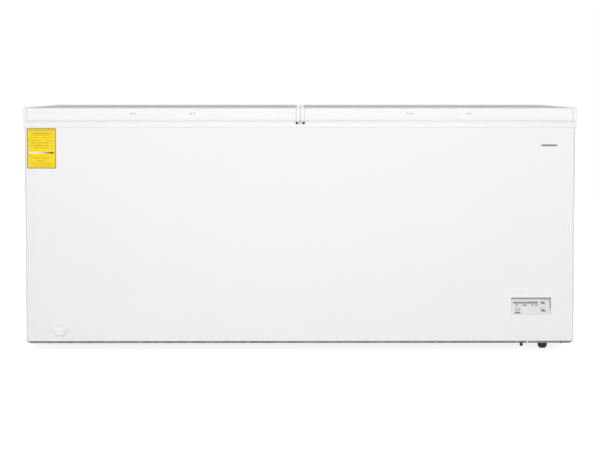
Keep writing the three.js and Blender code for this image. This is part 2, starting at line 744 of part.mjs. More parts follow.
// The grommet that the power lead passes through.
function cordGland() {
  const head = 3;
  const body = turned([
    [0, -glandLength / 2], [glandRadius - 1, -glandLength / 2], [glandRadius, -head], [glandRadius, head],
    [glandRadius + 4, head + fit], [glandRadius + 4, head + 4], [glandRadius - 3, glandLength / 2 + 6],
    [0, glandLength / 2 + 6],
  ], 12).rotateX(-Math.PI / 2).translate(glandX, bodyDepth - head, glandZ);
  return cut(body, bar("y", [glandX, bodyDepth, glandZ], 4, 4 * glandLength, 12));
}

add("side_vent_grille", sideGrille(), whitePlastic);
add("cord_gland", cordGland(), blackPlastic);

// ---------------------------------------------------------------- controls
const bezelX0 = bezelCentreX - bezelWidth / 2;
const bezelX1 = bezelCentreX + bezelWidth / 2;
const bezelZ0 = bezelCentreZ - bezelHeight / 2;
const bezelZ1 = bezelCentreZ + bezelHeight / 2;
const faceX0 = bezelX0 + bezelFrame;
const faceX1 = bezelX1 - bezelFrame;
const faceZ0 = bezelZ0 + bezelFrame;
const faceZ1 = bezelZ1 - bezelFrame;
const slope = Math.atan2(recessDepth - recessShallow, faceZ1 - faceZ0);
const faceWall = 1.6;

// The frame stands on the steel, and its shallow box goes in through the hole.
function controlBezel() {
  const box = 22;
  const front = -fit - bezelProud;
  const rim = alongY(rounded(bezelX0, bezelZ0, bezelX1, bezelZ1, same(bezelRadius)), front, -fit);
  const body = block([faceX0, -fit - tiny, faceZ0], [faceX1, box, faceZ1]);
  const hollow = block([faceX0 + faceWall, front - tiny, faceZ0 + faceWall],
    [faceX1 - faceWall, box + tiny, faceZ1 - faceWall]);
  return cut(join(rim, body), hollow);
}

// A point on the sloped face, from its place seen from the front and a height off the face.
function onFace(z, lift = 0) {
  const along = (z - faceZ0) / (faceZ1 - faceZ0);
  const y = recessShallow + along * (recessDepth - recessShallow);
  return y - lift / Math.cos(slope);
}

// A plate that lies in the sloped face's plane, seen from the front as a rectangle.
function slopedPlate(x0, x1, z0, z1, lift, thickness) {
  const profile = outline([
    [onFace(z0, lift), z0], [onFace(z0, lift) + thickness, z0],
    [onFace(z1, lift) + thickness, z1], [onFace(z1, lift), z1],
  ]);
  return alongX(profile, x0, x1);
}

const faceInset = faceWall + fit;
const leftColumn = faceX0 + 26;
const rightColumn = faceX1 - 27;
const buttonZ = [bezelCentreZ + 11, bezelCentreZ - 14];
const lampZ = bezelCentreZ - 13;
const windowX0 = faceX0 + 12;
const windowZ0 = bezelCentreZ + 6;

const buttonCut = (z, grow) => block(
  [rightColumn - buttonWidth / 2 - grow, -recessDepth, z - buttonHeight / 2 - grow],
  [rightColumn + buttonWidth / 2 + grow, 3 * recessDepth, z + buttonHeight / 2 + grow]);

function controlFace() {
  const plate = slopedPlate(faceX0 + faceInset, faceX1 - faceInset, faceZ0 + faceInset, faceZ1 - faceInset,
    0, faceThickness);
  const windowHole = block([windowX0 - fit, -recessDepth, windowZ0 - fit],
    [windowX0 + windowWidth + fit, 3 * recessDepth, windowZ0 + windowHeight + fit]);
  const lampHole = bar("y", [leftColumn, recessDepth, lampZ], lampRadius + fit, 4 * recessDepth);
  return cut(plate, windowHole, lampHole, ...buttonZ.map((z) => buttonCut(z, buttonPlay)));
}

function displayWindow() {
  return slopedPlate(windowX0, windowX0 + windowWidth, windowZ0, windowZ0 + windowHeight, 0.3,
    faceThickness);
}

function alarmLamp() {
  const top = 1.2;
  const back = recessDepth + 4;
  const front = onFace(lampZ, top);
  return bar("y", [leftColumn, (front + back) / 2, lampZ], lampRadius, back - front);
}

const buttonBack = 17;
function pushButton(z) {
  const shape = rounded(rightColumn - buttonWidth / 2, z - buttonHeight / 2,
    rightColumn + buttonWidth / 2, z + buttonHeight / 2, same(3));
  return alongY(shape, onFace(z) - buttonProud, buttonBack);
}

// The circuit board closes the back of the box; the buttons press switches on it.
function controlBoard() {
  const z0 = faceZ0 + faceInset;
  const z1 = faceZ1 - faceInset;
  const front = buttonBack + buttonTravel + 2 * fit;
  return block([faceX0 + faceInset, front, z0], [faceX1 - faceInset, front + boardDepth, z1]);
}

add("control_bezel", controlBezel(), whitePlastic);
add("control_face", controlFace(), greyPlastic);
add("display_window", displayWindow(), darkWindow);
add("alarm_lamp", alarmLamp(), smokedLens);
add("set_button", pushButton(buttonZ[0]), greyPlastic);
add("mode_button", pushButton(buttonZ[1]), greyPlastic);
add("control_board", controlBoard(), boardGreen);

// ---------------------------------------------------------------- label and drain
function energyLabel() {
  const x0 = -halfBody + labelFromEnd;
  const z1 = rimBottom - labelBelowRim;
  return alongY(rounded(x0, z1 - labelHeight, x0 + labelWidth, z1, same(3)),
    -fit - labelThickness, -fit);
}

// The drain runs from a hole in the liner's floor to the cap at the front.
function drainTube() {
  const elbow = pipe([
    [drainX, steel + 2, drainZ], [drainX, drainElbowY, drainZ],
    [drainX, drainElbowY, cavityFloor - liner - 2],
  ], drainTubeRadius, 12);
  const bore = pipe([
    [drainX, -wall, drainZ], [drainX, drainElbowY, drainZ], [drainX, drainElbowY, cavityFloor + wall],
  ], drainTubeRadius - drainTubeWall, 12);
  return cut(elbow, bore);
}

function drainCap() {
  const t = drainCapThickness;
  const spigotRadius = drainTubeRadius - drainTubeWall - 0.5;
  const cap = turned([
    [0, -18], [spigotRadius, -18], [spigotRadius, fit], [drainCapRadius - 1, fit],
    [drainCapRadius, fit + 1.5], [drainCapRadius - 1, t - 2], [drainCapRadius - 3, t], [0, t],
  ], 24).rotateX(Math.PI / 2);
  const gripHalf = 2.2;
  const grip = block([-drainCapRadius + 5, -t - drainGrip, -gripHalf], [drainCapRadius - 5, -t + 1, gripHalf]);
  return join(cap, grip).translate([drainX, 0, drainZ]);
}

function drainPlug() {
  const head = 5;
  const stemRadius = drainTubeRadius - drainTubeWall - 0.6;
  const plug = turned([
    [0, -20], [stemRadius, -20], [stemRadius, fit], [drainPlugRadius, fit],
    [drainPlugRadius, head - 1], [drainPlugRadius - 2, head], [0, head],
  ], 16);
  const tab = block([-7, -1.5, head - 1], [7, 1.5, head + 12]);
  return join(plug, tab).translate([drainX, drainElbowY, cavityFloor]);
}

add("energy_label", energyLabel(), labelYellow);
add("drain_tube", drainTube(), whitePlastic);
add("drain_cap", drainCap(), whitePlastic);
add("drain_plug", drainPlug(), whitePlastic);

// ---------------------------------------------------------------- casters
function caster(place, x, y, swivels) {
  const underPan = panBottom - fit;
  const plateBottom = underPan - casterPlate;
  const half = casterPlateSize / 2;
  const plateShape = rounded(x - half, y - half, x + half, y + half, same(6));
  const crown = plateBottom - (swivels ? swivelHeight + fit : 0);
  const axleY = y + (swivels ? forkTrail : 0);
  const cheekBottom = axleZ - cheekDrop;

  // two cheeks under a crown, with the axle riveted through them
  const cheek = outline([
    [axleY - cheekHalf, cheekBottom], [axleY + cheekHalf, cheekBottom], [axleY + 2 * cheekHalf, axleZ],
    [y + swivelRadius, crown], [y - swivelRadius, crown], [axleY - 2 * cheekHalf, axleZ],
  ]);
  const cheeks = [x - forkWidth / 2, x + forkWidth / 2 - forkSheet].map((from) =>
    alongX(cheek, from, from + forkSheet));
  const crownPlate = block([x - forkWidth / 2, y - swivelRadius, wheelSpace],
    [x + forkWidth / 2, y + swivelRadius, crown]);
  const axle = bar("x", [x, axleY, axleZ], axleRadius, forkWidth + 2);
  const frame = join(...cheeks, crownPlate, axle);

  if (swivels) {
    // the king pin passes through the plate and its raceway
    const boss = bar("z", [x, y, plateBottom - swivelHeight / 2], swivelRadius, swivelHeight, 20);
    const bore = (kingPinRadius + hingePinPlay) / Math.cos(Math.PI / roundSides);
    const plate = join(alongZ(plateShape, plateBottom, underPan), boss);
    const kingPin = bar("z", [x, y, (crown + underPan - fit) / 2], kingPinRadius, underPan - fit - crown + 2);
    const pinTop = block([x - half, y - half, underPan - fit], [x + half, y + half, underPan + 9]);
    add(`${place}_caster_plate`,
      cut(plate, bar("z", [x, y, plateBottom], bore, 40)), zincSteel);
    add(`${place}_caster_fork`, join(frame, cut(kingPin, pinTop)), blackPaint);
  } else {
    add(`${place}_caster_bracket`, join(frame, alongZ(plateShape, plateBottom, underPan)), zincSteel);
  }

  const bore = (axleRadius + hingePinPlay) / Math.cos(Math.PI / roundSides);
  const wheel = new THREE.CylinderGeometry(wheelRadius, wheelRadius, wheelWidth, wheelSides)
    .rotateY(Math.PI / wheelSides).rotateZ(Math.PI / 2).translate(x, axleY, axleZ);
  add(`${place}_caster_wheel`, cut(wheel, bar("x", [x, axleY, axleZ], bore, 2 * wheelWidth)), tyreGrey);
}

caster("front_left", -halfBody + casterFromEnd, frontLeftCasterY, true);
caster("front_right", halfBody - casterFromEnd, frontRightCasterY, true);
caster("rear_left", -halfBody + casterFromEnd, bodyDepth - rearCasterFromBack, false);
caster("rear_right", halfBody - casterFromEnd, bodyDepth - rearCasterFromBack, false);

// ---------------------------------------------------------------- storage basket
// A tapered wire tray with a hook along its front and back edges that slides on the rim's ledges.
function storageBasket() {
  const top = rimTop - ledgeTop + fit;
  const front = lipInset + ledgeDepth + 2;
  const back = bodyDepth - front;
  const shell = (inset, z0, z1) => {
    const taper = basketTaper;
    const half = basketWidth / 2 - inset;
    const profile = outline([
      [front + taper + inset, z0], [back - taper - inset, z0], [back - inset, z1], [front + inset, z1],
    ]);
    return alongX(profile, basketX - half, basketX + half);
  };
  const z0 = top - basketHeight;
  const tray = cut(shell(0, z0, top + basketHook), shell(basketWall, z0 + basketWall, top + basketHook + tiny));
  const reach = lipInset + 2;
  const hooks = [[reach, front + basketWall], [back - basketWall, bodyDepth - reach]].map(([y0, y1]) =>
    block([basketX - basketWidth / 2, y0, top], [basketX + basketWidth / 2, y1, top + basketHook]));
  return join(tray, ...hooks);
}

add("storage_basket", storageBasket(), whiteWire);

export default freezer;
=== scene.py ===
# %% [markdown]
# # A two-lid chest freezer, finished around its frame
# The frame is the engineering model: every sheet, hinge and wheel at its true size and place. This lesson
# gives it the look of the real thing. Sheets get their folded corners, moulded parts get their soft edges,
# the basket is woven from wire, and each surface gets the finish that its maker gave it.

# %% Load the frame and keep its box
import json
import math
import bmesh
import bpy
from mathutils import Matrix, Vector


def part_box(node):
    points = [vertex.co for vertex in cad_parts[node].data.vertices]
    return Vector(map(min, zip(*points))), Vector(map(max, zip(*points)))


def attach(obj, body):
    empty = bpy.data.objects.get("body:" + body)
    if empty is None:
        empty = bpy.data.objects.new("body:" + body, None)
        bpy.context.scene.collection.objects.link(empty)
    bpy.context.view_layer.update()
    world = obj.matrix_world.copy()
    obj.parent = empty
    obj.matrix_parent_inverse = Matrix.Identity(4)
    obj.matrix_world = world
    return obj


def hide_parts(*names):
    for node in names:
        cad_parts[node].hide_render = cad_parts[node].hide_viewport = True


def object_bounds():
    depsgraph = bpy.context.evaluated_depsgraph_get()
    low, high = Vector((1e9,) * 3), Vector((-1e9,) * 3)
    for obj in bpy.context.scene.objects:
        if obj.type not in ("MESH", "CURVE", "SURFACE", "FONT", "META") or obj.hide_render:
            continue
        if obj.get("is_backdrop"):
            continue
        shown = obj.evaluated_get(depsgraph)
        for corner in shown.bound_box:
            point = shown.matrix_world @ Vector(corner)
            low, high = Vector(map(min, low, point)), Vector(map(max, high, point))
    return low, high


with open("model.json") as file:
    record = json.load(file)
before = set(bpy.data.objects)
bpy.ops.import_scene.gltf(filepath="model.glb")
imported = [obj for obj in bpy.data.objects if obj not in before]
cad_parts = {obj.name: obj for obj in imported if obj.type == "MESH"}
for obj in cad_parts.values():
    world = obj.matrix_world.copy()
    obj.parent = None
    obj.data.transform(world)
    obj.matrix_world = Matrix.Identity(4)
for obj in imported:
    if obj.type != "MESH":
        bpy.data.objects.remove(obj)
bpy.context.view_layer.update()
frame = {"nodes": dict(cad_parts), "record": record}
MM = 0.001

# %% [markdown]
# ## A few hand tools
# Blender's operators act on whatever is selected, so each step first clears the selection and then picks
# faces or edges by where they are. These helpers do just that, so that the steps below read as they would
# be done by hand: add a block, pick an edge, bevel it, apply a modifier.

# %% Selecting, placing and applying
def only(*pieces):
    """Leaves just these objects selected, in object mode, with the first one active."""
    if bpy.context.object and bpy.context.object.mode != "OBJECT":
        bpy.ops.object.mode_set(mode="OBJECT")
    for other in list(bpy.context.selected_objects):
        other.select_set(False)
    for piece in pieces:
        piece.select_set(True)
    bpy.context.view_layer.objects.active = pieces[0]


def choose(piece, kind, test):
    """Enters edit mode with the faces or edges selected whose middle and direction pass the test."""
    only(piece)
    bpy.ops.object.mode_set(mode="EDIT")
    bpy.ops.mesh.select_mode(type=kind)
    bpy.ops.mesh.select_all(action="DESELECT")
    mesh = bmesh.from_edit_mesh(piece.data)
    if kind == "FACE":
        found = [f for f in mesh.faces if test(f.calc_center_median(), f.normal)]
    else:
        ends = [(e, e.verts[0].co, e.verts[1].co) for e in mesh.edges]
        found = [e for e, a, b in ends if test((a + b) / 2, (b - a).normalized())]
    for item in found:
        item.select_set(True)
    bmesh.update_edit_mesh(piece.data)


def done():
    bpy.ops.object.mode_set(mode="OBJECT")


def placed(name):
    """Names the new primitive and moves its place into its mesh, so that its object sits at the origin."""
    piece = bpy.context.object
    piece.name = piece.data.name = name
    only(piece)
    bpy.ops.object.transform_apply(location=True, rotation=True, scale=True)
    return piece


def modify(piece, kind, **settings):
    only(piece)
    modifier = piece.modifiers.new(kind.title(), kind)
    for setting, value in settings.items():
        setattr(modifier, setting, value)
    bpy.ops.object.modifier_apply(modifier=modifier.name)
    return piece


# %% Starting shapes
def block(name, low, high):
    """A box between two corners."""
    low, high = Vector(low), Vector(high)
    bpy.ops.mesh.primitive_cube_add(size=1, location=(low + high) / 2)
    bpy.context.object.scale = high - low
    return placed(name)


TURN = {"x": (0, math.pi / 2, 0), "y": (math.pi / 2, 0, 0), "z": (0, 0, 0)}


def rod(name, axis, centre, radius, length, sides=32):
    bpy.ops.mesh.primitive_cylinder_add(
        vertices=sides, radius=radius, depth=length, location=centre, rotation=TURN[axis])
    return placed(name)


def joined(name, pieces):
    only(*pieces)
    if len(pieces) > 1:
        bpy.ops.object.join()
    pieces[0].name = pieces[0].data.name = name
    return pieces[0]


def copied(piece):
    """A copy with its own mesh."""
    twin = piece.copy()
    twin.data = piece.data.copy()
    bpy.context.collection.objects.link(twin)
    return twin


def cut_out(piece, cutters):
    """Takes the cutters away from the piece with a Boolean, then deletes them."""
    for cutter in cutters:
        modify(piece, "BOOLEAN", operation="DIFFERENCE", solver="EXACT", object=cutter)
        bpy.data.objects.remove(cutter)
    return piece


def bevel(piece, width, segments=2, sharper_than=30):
    return modify(piece, "BEVEL", width=width, segments=segments, limit_method="ANGLE",
                  angle_limit=math.radians(sharper_than), use_clamp_overlap=True)


# %% A softened copy of a frame node
def softened(node, name, radius, segments=2, sharper_than=30):
    """A frame node's shape with its edges rounded, as a moulded or pressed part has them."""
    piece = bpy.data.objects.new(name, frame["nodes"][node].data.copy())
    bpy.context.collection.objects.link(piece)
    only(piece)
    bpy.ops.mesh.customdata_custom_splitnormals_clear()
    bpy.ops.object.mode_set(mode="EDIT")
    bpy.ops.mesh.select_all(action="SELECT")
    bpy.ops.mesh.remove_doubles(threshold=0.02 * MM)
    bpy.ops.mesh.dissolve_limited(angle_limit=math.radians(0.5))
    done()
    return bevel(piece, radius, segments, sharper_than)


# %% Handing a piece over
def fit_out(piece, body, slot, finish, *stands_for, angle=35):
    """Shades the piece, gives it its finish, hangs it on its body, and hides the nodes that it stands for.
    """
    only(piece)
    bpy.ops.object.shade_smooth_by_angle(angle=math.radians(angle))
    piece.data.materials.clear()
    piece.data.materials.append(finish)
    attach(piece, body)
    if stands_for:
        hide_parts(*stands_for)
    size = [round(v / MM, 1) for v in piece.dimensions]
    print(f"{piece.name}: {size} mm, {len(piece.data.polygons)} faces, on {body}")
    return piece


# %% [markdown]
# ## Finishes
# Each finish is a small node tree on one Principled shader. Colours are written as they are on a colour
# card, in sRGB, and one function turns them to the linear values that the shader works in. Patterns read
# Object coordinates, which are metres here, so a scale of 1 / 0.004 gives grains 4 mm apart.

# %% Two tools for finishes
def linear(code):
    values = [int(code[i:i + 2], 16) / 255 for i in (1, 3, 5)]
    return tuple(v / 12.92 if v <= 0.04045 else ((v + 0.055) / 1.055) ** 2.4 for v in values) + (1,)


def add_node(finish, kind, links=None, **settings):
    """Adds a node, sets its properties, and sets or links its inputs by name or number."""
    node = finish.node_tree.nodes.new(kind)
    for setting, value in settings.items():
        setattr(node, setting, value)
    for socket, value in (links or {}).items():
        if isinstance(value, bpy.types.NodeSocket):
            finish.node_tree.links.new(value, node.inputs[socket])
        else:
            node.inputs[socket].default_value = value
    return node


# %% The finish that most parts share: a colour that wanders a little, and a fine grain
MIX_A, MIX_B, MIX_RESULT = 6, 7, 2  # the colour sockets of a Mix node


def surface(name, light, dark, roughness, grain, depth, metallic=0.0, patch=0.18, **constants):
    """light and dark are the two ends of the colour, grain and depth the relief's size in metres."""
    finish = bpy.data.materials.new(name)
    finish.use_nodes = True
    shader = finish.node_tree.nodes["Principled BSDF"]
    shader.inputs["Metallic"].default_value = metallic
    for socket, value in constants.items():
        shader.inputs[socket.replace("_", " ")].default_value = value
    place = add_node(finish, "ShaderNodeTexCoord").outputs["Object"]
    cloud = add_node(finish, "ShaderNodeTexNoise", {"Vector": place, "Scale": 1 / patch, "Detail": 4})
    tint = add_node(finish, "ShaderNodeMix", {
        "Factor": cloud.outputs["Fac"], MIX_A: linear(light), MIX_B: linear(dark)}, data_type="RGBA")
    fine = add_node(finish, "ShaderNodeTexNoise", {"Vector": place, "Scale": 1 / grain, "Detail": 3})
    low, high = roughness
    rough = add_node(finish, "ShaderNodeMapRange", {
        "Value": cloud.outputs["Fac"], "From Min": 0.3, "From Max": 0.7, "To Min": low, "To Max": high})
    relief = add_node(finish, "ShaderNodeBump", {
        "Height": fine.outputs["Fac"], "Distance": depth, "Strength": 1})
    finish.node_tree.links.new(tint.outputs[MIX_RESULT], shader.inputs["Base Color"])
    finish.node_tree.links.new(rough.outputs["Result"], shader.inputs["Roughness"])
    finish.node_tree.links.new(relief.outputs["Normal"], shader.inputs["Normal"])
    return finish


# %% [markdown]
# ### Whites
# The cabinet and the lids are thin steel with a polyester powder coat, baked on. It flows out smooth but for
# a faint orange peel, 3 or 4 mm from crest to crest. The rim and the caps are moulded ABS: the same white,
# a touch warmer and more matt, with the fine sparkle that an eroded mould leaves. The grain is drawn at
# about twice its true size, because it would vanish otherwise.

# %% Powder coat and moulded whites
powder_coat = surface("powder_coated_steel", "#F7F7F8", "#F4F4F6", (0.42, 0.5), 3.6 * MM, 0.012 * MM,
                      patch=0.4, Specular_IOR_Level=0.05)
lid_coat = surface("powder_coated_lid", "#F9F9FB", "#F6F6F9", (0.58, 0.66), 3.6 * MM, 0.012 * MM,
                   patch=0.4, Specular_IOR_Level=0.0)
white_abs = surface("moulded_white_abs", "#F9F9F9", "#F5F5F6", (0.5, 0.58), 1.2 * MM, 0.02 * MM,
                    Specular_IOR_Level=0.12)
grey_abs = surface("moulded_grey_abs", "#E2E2E4", "#DCDCDF", (0.48, 0.56), 1.2 * MM, 0.02 * MM)
soft_pvc = surface("soft_pvc_gasket", "#F1F2F3", "#E8EAEB", (0.55, 0.7), 2 * MM, 0.03 * MM)
coated_wire = surface("plastic_coated_wire", "#ECEEEE", "#E6E8E9", (0.35, 0.45), 5 * MM, 0.04 * MM)
print("whites:", powder_coat.name, white_abs.name, grey_abs.name)

# %% [markdown]
# ### Darks, papers and the rest
# Stoved black paint has a low, even gloss. Nylon wheels are duller, and scuffed where they roll. The foam
# shows only through the louvres: cut polyurethane has open cells about 1 mm across.

# %% Dark finishes, foam and the circuit board
black_paint = surface("stoved_black_paint", "#232426", "#1B1C1E", (0.35, 0.45), 3 * MM, 0.02 * MM)
black_abs = surface("moulded_black_abs", "#1E1F20", "#191A1B", (0.5, 0.62), 1.2 * MM, 0.03 * MM)
nylon = surface("black_nylon_wheel", "#2A2B2D", "#1F2022", (0.5, 0.75), 1.6 * MM, 0.05 * MM,
                patch=0.012)
cut_foam = surface("polyurethane_foam", "#EADDB0", "#D9C78F", (0.85, 0.95), 1.4 * MM, 0.5 * MM,
                   patch=0.03)
solder_mask = surface("green_solder_mask", "#2F6B45", "#285C3B", (0.3, 0.4), 4 * MM, 0.03 * MM)
smoked_lens = surface("smoked_lens", "#BEC0C2", "#B6B8BA", (0.16, 0.24), 6 * MM, 0.005 * MM)
lamp_lens = surface("lamp_lens", "#D6D6D8", "#CFCFD2", (0.2, 0.28), 4 * MM, 0.01 * MM)
ink_grey = surface("grey_ink", "#7C7E80", "#747678", (0.5, 0.6), 1 * MM, 0.005 * MM)
# The slate grey serves the lamp's printed base line and the painted shadow of the recess's right wall.
slate_ink_and_shade = surface("slate_ink_and_painted_shade", "#55585A", "#4E5052", (0.5, 0.6), 1 * MM, 0.005 * MM)
# Grey for the painted shadow that the recess's top lip casts across the panel face.
painted_shade_grey = surface("painted_recess_shadow_band", "#ADADAE", "#A5A5A7", (0.5, 0.6), 1 * MM, 0.005 * MM)
# Grey for the painted shadow line in the seam between each lid cap and the steel.
seam_shadow_grey = surface("painted_seam_shadow", "#A4A6A8", "#9C9EA0", (0.6, 0.7), 1 * MM, 0.01 * MM)
ink_black = surface("black_ink", "#1C1C1D", "#161617", (0.45, 0.55), 1 * MM, 0.005 * MM)
print("dark finishes:", black_paint.name, nylon.name)

# %% [markdown]
# ### Metals
# A metal shows itself by its reflection, so these have metallic at 1 and a colour that is its mirror tint.
# Hot-dip galvanising freezes into spangles a centimetre or two across, each of its own grey. The store's
# aluminium is rolled with a stucco pattern of small bumps, which hides dents. Bright zinc plate is bluish
# and even, and drawn copper pipe dulls where it has been brazed.

# %% Galvanised sheet with its spangles, in greys set dark as painted shade
def spangled(name, light, dark, spangle):
    finish = surface(name, light, dark, (0.34, 0.48), 1.5 * MM, 0.01 * MM, metallic=1.0, patch=0.25)
    shader = finish.node_tree.nodes["Principled BSDF"]
    place = add_node(finish, "ShaderNodeTexCoord").outputs["Object"]
    cells = add_node(finish, "ShaderNodeTexVoronoi", {"Vector": place, "Scale": 1 / spangle})
    grey = add_node(finish, "ShaderNodeSeparateColor", {"Color": cells.outputs["Color"]})
    tone = add_node(finish, "ShaderNodeMix", {
        "Factor": grey.outputs[0], MIX_A: linear(light), MIX_B: linear(dark)}, data_type="RGBA")
    gloss = add_node(finish, "ShaderNodeMapRange", {"Value": grey.outputs[1], "To Min": 0.3, "To Max": 0.5})
    finish.node_tree.links.new(tone.outputs[MIX_RESULT], shader.inputs["Base Color"])
    finish.node_tree.links.new(gloss.outputs["Result"], shader.inputs["Roughness"])
    return finish


# Both greys are darker than bare zinc: they paint in the shade of the dark line under the wrap, where the
# pan's rail shows.
galvanised_with_shade = spangled("galvanised_sheet_with_painted_shade", "#7E8184", "#66696C", 14 * MM)
bright_zinc = surface("bright_zinc_plate", "#C4C8CC", "#B2B7BB", (0.26, 0.38), 2 * MM, 0.01 * MM,
                      metallic=1.0, patch=0.02)
copper = surface("drawn_copper", "#C98058", "#A9633E", (0.28, 0.42), 2 * MM, 0.01 * MM,
                 metallic=1.0, patch=0.03)
black_oxide = surface("black_oxide_bolt", "#2B2C2E", "#222325", (0.35, 0.5), 1 * MM, 0.02 * MM,
                      metallic=0.6)
print("metals:", galvanised_with_shade.name, bright_zinc.name, copper.name)

# %% Stucco-embossed aluminium
# The bumps are about 4 mm apart; a Voronoi cell pattern, smoothed, gives their rounded lands.
bump_wander, bump_pitch, bump_height = 9 * MM, 5 * MM, 0.9 * MM
stucco = surface("stucco_aluminium", "#D9DBDC", "#CDCFD1", (0.3, 0.4), 1.5 * MM, 0.01 * MM,
                 metallic=1.0, patch=0.3)
shader = stucco.node_tree.nodes["Principled BSDF"]
place = add_node(stucco, "ShaderNodeTexCoord").outputs["Object"]
wander = add_node(stucco, "ShaderNodeTexNoise", {"Vector": place, "Scale": 1 / bump_wander, "Detail": 1})
bent = add_node(stucco, "ShaderNodeVectorMath", {0: place, 1: wander.outputs["Color"]},
                operation="MULTIPLY_ADD")
bent.inputs[1].default_value = (1, 1, 1)
push = add_node(stucco, "ShaderNodeVectorMath", {0: wander.outputs["Color"]}, operation="SCALE")
push.inputs["Scale"].default_value = 3 * MM
stucco.node_tree.links.new(push.outputs["Vector"], bent.inputs[2])
lands = add_node(stucco, "ShaderNodeTexVoronoi", {
    "Vector": bent.outputs["Vector"], "Scale": 1 / bump_pitch}, feature="SMOOTH_F1")
emboss = add_node(stucco, "ShaderNodeBump", {
    "Height": lands.outputs["Distance"], "Distance": bump_height, "Strength": 0.7})
stucco.node_tree.links.new(emboss.outputs["Normal"], shader.inputs["Normal"])
print("liner finish:", stucco.name)

# %% [markdown]
# ### The energy sticker
# It is a printed polyester film, slightly glossy. The film is plain yellow here; its border, its rows and
# its scale are printed marks, made as thin pieces a tenth of a millimetre proud. The scale's grey runs from
# white at the left to black at the right, so its finish reads the distance along the sticker.

# %% Film, print and the scale's gradient
sticker_low, sticker_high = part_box("energy_label")
film_yellow = surface("yellow_polyester_film", "#FCE00C", "#F9DB08", (0.34, 0.42), 3 * MM, 0.006 * MM,
                      patch=0.02, Specular_IOR_Level=0.2)
ink_olive = surface("olive_ink", "#9A8743", "#927F3C", (0.45, 0.5), 1 * MM, 0.004 * MM)
ink_ochre = surface("ochre_ink", "#CDA70E", "#BF980A", (0.45, 0.5), 1 * MM, 0.004 * MM, patch=0.006)
scale_ink = surface("scale_gradient_ink", "#FFFFFF", "#FFFFFF", (0.45, 0.5), 1 * MM, 0.004 * MM)
scale_inset = 8 * MM
place = add_node(scale_ink, "ShaderNodeTexCoord").outputs["Object"]
along = add_node(scale_ink, "ShaderNodeSeparateXYZ", {"Vector": place})
share = add_node(scale_ink, "ShaderNodeMapRange", {
    "Value": along.outputs["X"], "From Min": sticker_low.x + scale_inset,
    "From Max": sticker_high.x - scale_inset})
ramp = add_node(scale_ink, "ShaderNodeValToRGB", {"Fac": share.outputs["Result"]})
ramp.color_ramp.elements[0].color = linear("#FAFAFA")
ramp.color_ramp.elements[1].color = linear("#101010")
ramp.color_ramp.elements[1].position = 0.9
middle = ramp.color_ramp.elements.new(0.5)
middle.color = linear("#D8D8D8")
scale_shader = scale_ink.node_tree.nodes["Principled BSDF"]
scale_ink.node_tree.links.new(ramp.outputs["Color"], scale_shader.inputs["Base Color"])
print("sticker is", [round(v / MM) for v in sticker_high - sticker_low], "mm")

# %% [markdown]
# ## The nodes that keep their frame shape
# Every node first gets the finish of its slot. Most are then replaced by a better shape further down, and
# the plain sheets and the hidden parts stay as they are.

# %% Paint every frame node by its slot
SLOT_FINISH = {
    "cabinet_steel": powder_coat, "white_plastic": white_abs, "galvanised_steel": galvanised_with_shade,
    "stucco_aluminium": stucco, "insulation_foam": cut_foam, "door_gasket": soft_pvc,
    "black_steel": black_paint, "black_plastic": black_abs, "grey_plastic": grey_abs,
    "display_lens": smoked_lens, "lamp_lens": lamp_lens, "circuit_board": solder_mask,
    "zinc_steel": bright_zinc, "copper": copper, "sticker": film_yellow, "caster_wheel": nylon,
    "basket_wire": coated_wire,
}
NODE_SLOT = {part["node"]: part["material_slot"] for part in frame["record"]["subparts"]}
for node, slot_name in NODE_SLOT.items():
    mesh = frame["nodes"][node].data
    mesh.materials.clear()
    mesh.materials.append(SLOT_FINISH[slot_name])
print(len(NODE_SLOT), "nodes painted with", len(SLOT_FINISH), "finishes")


def stand_in(node, piece, body="cabinet", *others, angle=35):
    """Fits out a piece that takes the place and the finish of a frame node."""
    slot_name = NODE_SLOT[node]
    return fit_out(piece, body, slot_name, SLOT_FINISH[slot_name], node, *others, angle=angle)


def round_off(node, name, radius, segments=2, body="cabinet", sharper_than=30, angle=35):
    """Puts a softened copy of a frame node in the node's own place."""
    return stand_in(node, softened(node, name, radius, segments, sharper_than), body, angle=angle)


# %% [markdown]
# ## The cabinet's outer wrap
# One sheet of steel is folded round the front and both ends. The frame draws it as three sheets, so here it
# is one piece again: a block without its top, bottom and back, with the two upright front edges rolled to
# a 9 mm radius, then given the thickness of the sheet. The openings are stamped out afterwards.

# %% Fold the wrap
front_low, front_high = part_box("front_panel")
FRONT, BACK = front_low.y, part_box("right_side_panel")[1].y
LEFT, RIGHT = front_low.x, front_high.x
sheet = 1 * MM
wrap = block("cabinet_wrap", front_low, (RIGHT, BACK, front_high.z))
choose(wrap, "FACE", lambda c, n: abs(n.z) > 0.9 or n.y > 0.9)
bpy.ops.mesh.delete(type="FACE")
choose(wrap, "EDGE", lambda c, d: abs(d.z) > 0.9 and c.y < FRONT + MM)
bpy.ops.mesh.bevel(offset=9 * MM, segments=8)
done()
modify(wrap, "SOLIDIFY", thickness=sheet, offset=-1)
print("wrap folded:", len(wrap.data.polygons), "faces")

# %% Stamp its openings
bezel_low, bezel_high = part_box("control_bezel")
cap_low, cap_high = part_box("drain_cap")
grille_low, grille_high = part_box("side_vent_grille")
inner, lap, tube_hole, through = 6.7 * MM, 8 * MM, 9.3 * MM, 5 * MM
drain_at = ((cap_low.x + cap_high.x) / 2, FRONT, (cap_low.z + cap_high.z) / 2)
cut_out(wrap, [
    block("cutter", (bezel_low.x + inner, FRONT - through, bezel_low.z + inner),
          (bezel_high.x - inner, FRONT + through, bezel_high.z - inner)),
    block("cutter", (RIGHT - through, grille_low.y + lap, grille_low.z + lap),
          (RIGHT + through, grille_high.y - lap, grille_high.z - lap)),
    rod("cutter", "y", drain_at, tube_hole, 2 * through),
])
bevel(wrap, 0.25 * MM, 1, 60)
stand_in("front_panel", wrap, "cabinet", "left_side_panel", "right_side_panel", angle=30)

